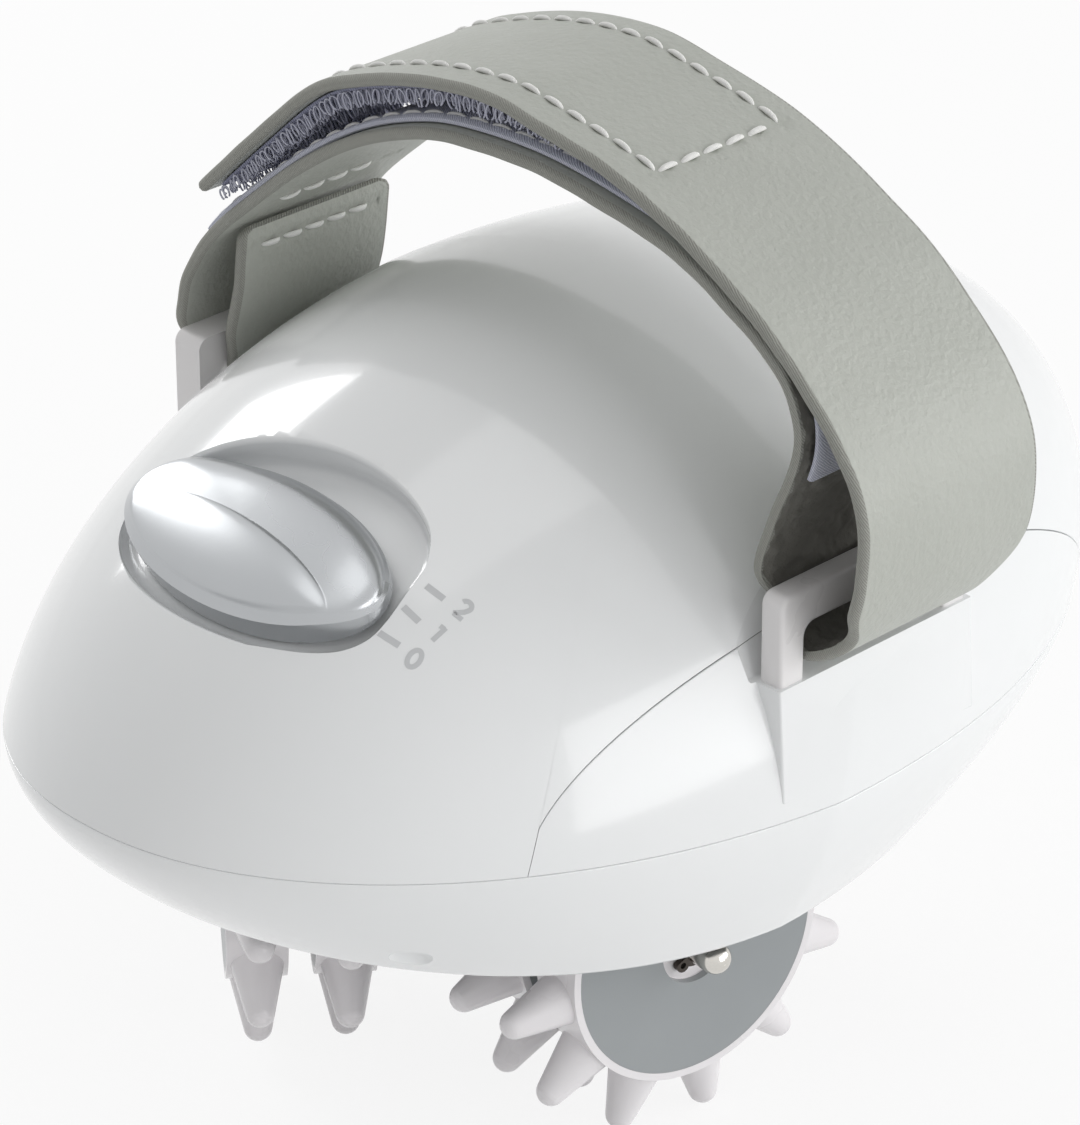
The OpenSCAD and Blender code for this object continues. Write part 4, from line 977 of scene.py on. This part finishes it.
def sheet(name, lengths, edges, offs, materials, pick, press, across, edge_steps):
    """Band along the strap. edges(s) gives (low y, high y), offs(s) the two offsets of its faces."""
    rows = []
    for s in lengths:
        (y0, y1), (o0, o1) = edges(s), offs(s)
        r = min((o1 - o0) / 2, (y1 - y0) / 2) * 0.95
        mid = (o0 + o1) / 2
        inner = [y0 + r + (y1 - y0 - 2 * r) * i / across for i in range(across + 1)]

        def edge(y, turn):
            angles = [turn + math.pi * k / edge_steps for k in range(1, edge_steps)]
            return [(y + r * math.cos(a), mid + (o1 - mid) * math.sin(a)) for a in angles]

        row = [(y, o0 + press(s, y, -1)) for y in inner] + edge(y1 - r, -math.pi / 2)
        row += [(y, o1 - press(s, y, 1)) for y in reversed(inner)] + edge(y0 + r, math.pi / 2)
        rows.append([strap.spot(s, y, o) for y, o in row])
    count, size = len(rows[0]), len(rows[0]) * len(rows)
    faces = ring_faces(count, len(rows)) + [tuple(range(count)), tuple(range(size - 1, size - count - 1, -1))]
    parts = (["low"] * across + ["edge"] * edge_steps + ["high"] * across + ["edge"] * edge_steps)
    kinds = [pick(part, s) for s in lengths[:-1] for part in parts]
    kinds += [pick("edge", lengths[0]), pick("edge", lengths[-1])]
    return new_object(name, [p for row in rows for p in row], faces, materials, kinds, False, 50)


LINED = (HAND_END - 27, COVER_START + 62)


def press(s, y, side):
    """How far a face of the strap lies below its plain level."""
    deep = groove(s, y, side)
    if side == 1 and LINED[0] < s < LINED[1]:
        at = min(s - LINED[0], LINED[1] - s, 3) / 3
        folds = fractal.noise(Vector((s * 0.55, y * 0.32, 3.0)))
        folds += 0.6 * fractal.noise(Vector((s * 1.3, y * 0.9, 9.0)))
        deep += (0.35 + 0.45 * folds) * at
    return deep


def make_strap():
    """Leather band with its own edge and lining surfaces."""
    lengths = list(np.arange(0, strap.total, 0.5)) + [strap.total]
    raw = [half_width(s) for s in lengths]
    # the taper at the bars is smoothed, but never past the play in the slot
    soft = [min(sum(raw[i - 3:i + 4]) / 7, w + 0.25) if 6 < i < len(raw) - 7 else w
            for i, w in enumerate(raw)]
    width = dict(zip(lengths, soft))
    ripple = {s: 0.12 * math.sin(s * 0.35) + 0.08 * math.sin(s * 0.9 + 1) for s in lengths}

    def edges(s):
        return LOOP_MID_Y - width[s] + 0.5 * ripple[s], LOOP_MID_Y + width[s] - 0.1 * ripple[s]

    def offs(s):
        end = min(s, strap.total - s)
        half = STRAP_T / 2 * (0.6 + 0.4 * eased(end / 1.2))
        return -half, half

    def pick(part, s):
        if part == "edge":
            return 1
        return 2 if part == "high" and LINED[0] < s < LINED[1] else 0

    obj = sheet("hand_strap_leather", lengths, edges, offs, [LEATHER, EDGE, LINING], pick, press, 110, 4)
    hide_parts("hand_strap")
    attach(obj, "housing")


def capsule(line, width, height, across):
    """Closed spindle along a short line of (point, normal) pairs."""
    rows = []
    for i, (p, up) in enumerate(line):
        t = 2 * i / (len(line) - 1) - 1
        f = max(0.0, 1 - abs(t) ** 2.6) ** 0.6
        rows.append(ring_at(p, across * (width / 2 * f), up * (height / 2 * f), 8))
    return rows


def make_stitches():
    pieces = []
    tape_y = LOOP_MID_Y - 11.6
    on_tape = (1, (HAND_START + 15, tape_y), (HAND_END - 30, tape_y))
    for run in RUNS + [on_tape]:
        side, (s0, y0), (s1, y1) = run
        size = math.hypot(s1 - s0, y1 - y0)
        ds, dy = (s1 - s0) / size, (y1 - y0) / size
        lift = STRAP_T / 2 + (SKIN_GAP + LOOP_TAPE_T - 0.05 if run is on_tape else 0.1)
        for k in range(int(size / STITCH_PITCH)):
            start = (k + 0.5) * STITCH_PITCH - STITCH_LEN / 2
            slant = 0.16 * (1 if k % 2 else 0.6) + rng.uniform(-0.06, 0.06)
            line = []
            for i in range(9):
                t = start + STITCH_LEN * i / 8
                f = i / 4 - 1
                y = y0 + dy * t + ds * slant * f
                s = s0 + ds * t + dy * slant * f
                _, _, nx, nz = strap.place(s)
                sink = 0.42 * abs(f) ** 3
                line.append((strap.spot(s, y, side * (lift - sink)), Vector((nx, 0, nz)) * side))
            along = (line[-1][0] - line[0][0]).normalized()
            across = along.cross(line[4][1]).normalized()
            wide = rng.uniform(0.78, 0.9) * (0.55 if run is on_tape else 1)
            pieces.append(capsule(line, wide, 0.4 if run is on_tape else 0.6, across))
    obj = tubes("strap_stitches", pieces, THREAD)
    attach(obj, "housing")


def make_tapes():
    """Woven tape with its loops on the hand layer, and the hook tape under the cover layer."""
    left, right = HAND_START + 14.5, HAND_END - 14.0
    low = STRAP_T / 2 + SKIN_GAP
    edge_y = LOOP_MID_Y - TAPE_W / 2

    def tape(name, node, lengths, thickness, material):
        obj = sheet(name, lengths, lambda s: (edge_y, LOOP_MID_Y + TAPE_W / 2),
                    lambda s: (low, low + thickness), [material], lambda part, s: 0,
                    lambda s, y, side: 0, 24, 3)
        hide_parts(node)
        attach(obj, "housing")

    tape("loop_tape_band", "loop_tape", list(np.arange(left, right, 0.7)) + [right], LOOP_TAPE_T - 0.25,
         LOOP_PILE)
    start = strap.near(31.1, BAR_LOW + 43.9, COVER_START)
    tape("hook_tape_band", "hook_tape", list(np.arange(start, strap.total - 2.5, 0.7)), HOOK_TAPE_T * 0.6,
         HOOK_PILE)

    # room between the two layers, so that the curls under the cover stay clear of the hand layer
    hand = np.array([strap.spot(s, 0, low + LOOP_TAPE_T) for s in np.arange(left, right, 1.0)], float)
    curls = []
    base = low + HOOK_TAPE_T * 0.6
    rows = [(0.1, 1.4), (0.9, 1.15), (1.9, 1.2), (3.1, 1.3), (4.7, 1.5), (6.7, 1.6), (9.3, 1.6),
            (12.0, 1.6), (15.0, 1.6), (18.0, 1.6), (21.0, 1.6)]
    for inset, pitch in rows:
        s = start + rng.uniform(0, 1)
        while s < strap.total - 2.8:
            s += pitch * rng.uniform(0.85, 1.15)
            y = edge_y + inset + rng.uniform(-0.25, 0.25)
            root = strap.spot(s, y, base)
            room = float(np.hypot(hand[:, 0] - root.x, hand[:, 2] - root.z).min()) - 0.25
            tall = min(2.1, 0.75 * room) * rng.uniform(0.8, 1.1) if inset < 4 else min(3.2, 0.92 * room)
            if tall >= 0.35:
                curls.append(curl(s, root, tall))
    obj = tubes("hook_curls", curls, CURL)
    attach(obj, "housing")


def curl(s, root, tall):
    """One springy loop of thread that hangs from the cover's tape."""
    _, _, nx, nz = strap.place(s)
    up, along = Vector((nx, 0, nz)), Vector((nz, 0, -nx))
    turn = rng.uniform(-0.5, 0.5)
    side = along * math.cos(turn) + Vector((0, 1, 0)) * math.sin(turn)
    back = up.cross(side)
    lean = rng.uniform(-0.25, 0.25)
    wide = min(0.52, tall * 0.34)
    path = []
    for i in range(13):
        a = math.radians(-70 + 320 * i / 12)
        rise = 1 - math.sin(a)
        path.append(root + side * (wide * math.cos(a) + lean * rise * 0.5 * tall)
                    + up * (tall / 2 * rise) + back * (0.12 * (i / 12 - 0.5)))
    rings = []
    for i, p in enumerate(path):
        d = (path[min(i + 1, len(path) - 1)] - path[max(i - 1, 0)]).normalized()
        flank = d.cross(Vector((0.3, 0.9, 0.1))).normalized() * CURL_R
        rings.append(ring_at(p, flank, d.cross(flank), 6))
    return rings


# Marks beside the knob: three ticks and plain numerals, printed on the shell

MARKS = [("0", (21.2, -42.9, 76.5), (23.9, -42.0, 75.3), (25.9, -41.6, 74.3)),
         ("1", (21.8, -39.3, 78.4), (24.0, -39.0, 77.2), (26.2, -38.2, 76.3)),
         ("2", (22.2, -36.1, 80.0), (24.5, -35.6, 79.0), (26.6, -34.6, 78.1))]
MARK_H, MARK_W, MARK_STROKE = 2.15, 1.35, 0.6


def numeral(word):
    """Strokes of a numeral in a cell from -0.5 to 0.5 both ways."""
    if word == "0":
        return [[(0.5 * math.cos(a), 0.5 * math.sin(a)) for a in round_angles(40) + [2 * math.pi]]]
    if word == "1":
        return [[(-0.36, 0.36), (0.12, 0.4)], [(0.12, 0.5), (0.12, -0.5)]]
    arch = [(0.46 * math.cos(math.radians(a)), 0.24 + 0.26 * math.sin(math.radians(a)))
            for a in range(165, -31, -12)]
    return [arch + [(0.22, -0.1), (-0.15, -0.32), (-0.46, -0.5)], [(-0.46, -0.5), (0.0, -0.5), (0.5, -0.5)]]


def make_marks(shell):
    tree = BVHTree.FromObject(shell, bpy.context.evaluated_depsgraph_get())
    pieces = []

    def onto(p):
        spot, normal, _, _ = tree.find_nearest(Vector(p) * MM)
        return spot / MM, normal

    def stroke(line, width):
        """Flat ribbon that follows the shell along a line of 3-D points."""
        fine = []
        for a, b in zip(line[:-1], line[1:]):
            steps = max(1, int((b - a).length / 0.12))
            fine += [a.lerp(b, i / steps) for i in range(steps)]
        fine.append(line[-1])
        rows = []
        n = len(fine)
        for i, p in enumerate(fine):
            along = (fine[min(i + 1, n - 1)] - fine[max(i - 1, 0)]).normalized()
            spot, normal = onto(p)
            side = normal.cross(along).normalized() * width / 2
            up, down = normal * 0.035, normal * -0.15
            left, right = onto(spot + side)[0], onto(spot - side)[0]
            rows.append([left + up, spot + up, right + up, right + down, left + down])
        pieces.append(rows)

    for word, start, end, centre in MARKS:
        start, end, centre = (onto(p)[0] for p in (start, end, centre))
        stroke([start, end], 0.8)
        normal = onto(centre)[1]
        right = (end - start).normalized()
        up = normal.cross(right).normalized()
        for line in numeral(word):
            stroke([centre + right * (u * MARK_W) + up * (v * MARK_H) for u, v in line], MARK_STROKE)
    obj = tubes("dial_marks", pieces, PRINT_GREY, 0)
    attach(obj, "housing")


dress_cad_nodes()
top_shell = make_top_shell()
make_marks(top_shell)
make_base_shell()
for side, word in ((1, "right"), (-1, "left")):
    make_side_panel(side, "side_panel_" + word)
    make_loop(side, "strap_loop_" + word)
make_knob()
make_strap()
make_stitches()
make_tapes()


# Studio: pale floor, soft lamps and a white surround for what looks past the object

PLAIN_WHITE = (1, 1, 1, 1)
FLOOR_GLOW, SOFT_LIGHT = 0.87, 0.48


def seen_directly(tree):
    """One for what the camera sees directly, in a reflection or through glass, else zero."""
    path = tree.nodes.new("ShaderNodeLightPath")
    total = path.outputs["Is Camera Ray"]
    for name in ("Is Glossy Ray", "Is Transmission Ray"):
        either = add(tree, "ShaderNodeMath", {0: total, 1: path.outputs[name]}, operation="MAXIMUM")
        total = either.outputs["Value"]
    return total


def mixed_shader(tree, share, first, second):
    return add(tree, "ShaderNodeMixShader", {0: share, 1: first, 2: second}).outputs["Shader"]


def stage_material():
    mat, tree, shader = node_material("floor")
    fill(tree, shader, {"Base Color": (0.93, 0.93, 0.93, 1), "Roughness": 0.9, "Specular IOR Level": 0.1})
    glow = add(tree, "ShaderNodeEmission", {"Color": PLAIN_WHITE, "Strength": 1.0})
    share = add(tree, "ShaderNodeMath", {0: seen_directly(tree), 1: FLOOR_GLOW}, operation="MULTIPLY")
    surface = mixed_shader(tree, share.outputs["Value"], shader.outputs["BSDF"], glow.outputs["Emission"])
    tree.links.new(surface, tree.nodes["Material Output"].inputs["Surface"])
    return mat


def make_studio():
    bpy.ops.mesh.primitive_plane_add(size=8, location=(0, 0, 0))
    floor = bpy.context.object
    floor.name = "floor"
    floor.data.materials.append(stage_material())
    world = bpy.data.worlds.new("studio")
    bpy.context.scene.world = world
    world.use_nodes = True
    tree = world.node_tree
    tree.nodes.clear()
    soft, white = (add(tree, "ShaderNodeBackground", {"Color": PLAIN_WHITE, "Strength": strength})
                   .outputs["Background"] for strength in (SOFT_LIGHT, 1.0))
    add(tree, "ShaderNodeOutputWorld", {"Surface": mixed_shader(tree, seen_directly(tree), soft, white)})

    def lamp(name, place, size, power):
        data = bpy.data.lights.new(name, "AREA")
        data.shape = "RECTANGLE"
        data.size, data.size_y = size
        data.energy = power
        obj = linked(name, data)
        obj.location = place
        aim = Vector((0, 0, 0.06)) - Vector(place)
        obj.rotation_euler = aim.to_track_quat("-Z", "Y").to_euler()

    lamp("right", (1.0, 0.1, 0.28), (0.6, 0.6), 2.7)
    lamp("right_rear", (0.75, 0.75, 0.4), (0.6, 0.6), 3.3)
    lamp("left", (-0.95, 0.1, 0.56), (0.42, 0.42), 3.2)
    lamp("top", (0, 0, 1.15), (0.6, 0.6), 1.0)


make_studio()
scene = bpy.context.scene
scene.view_settings.view_transform = "Standard"
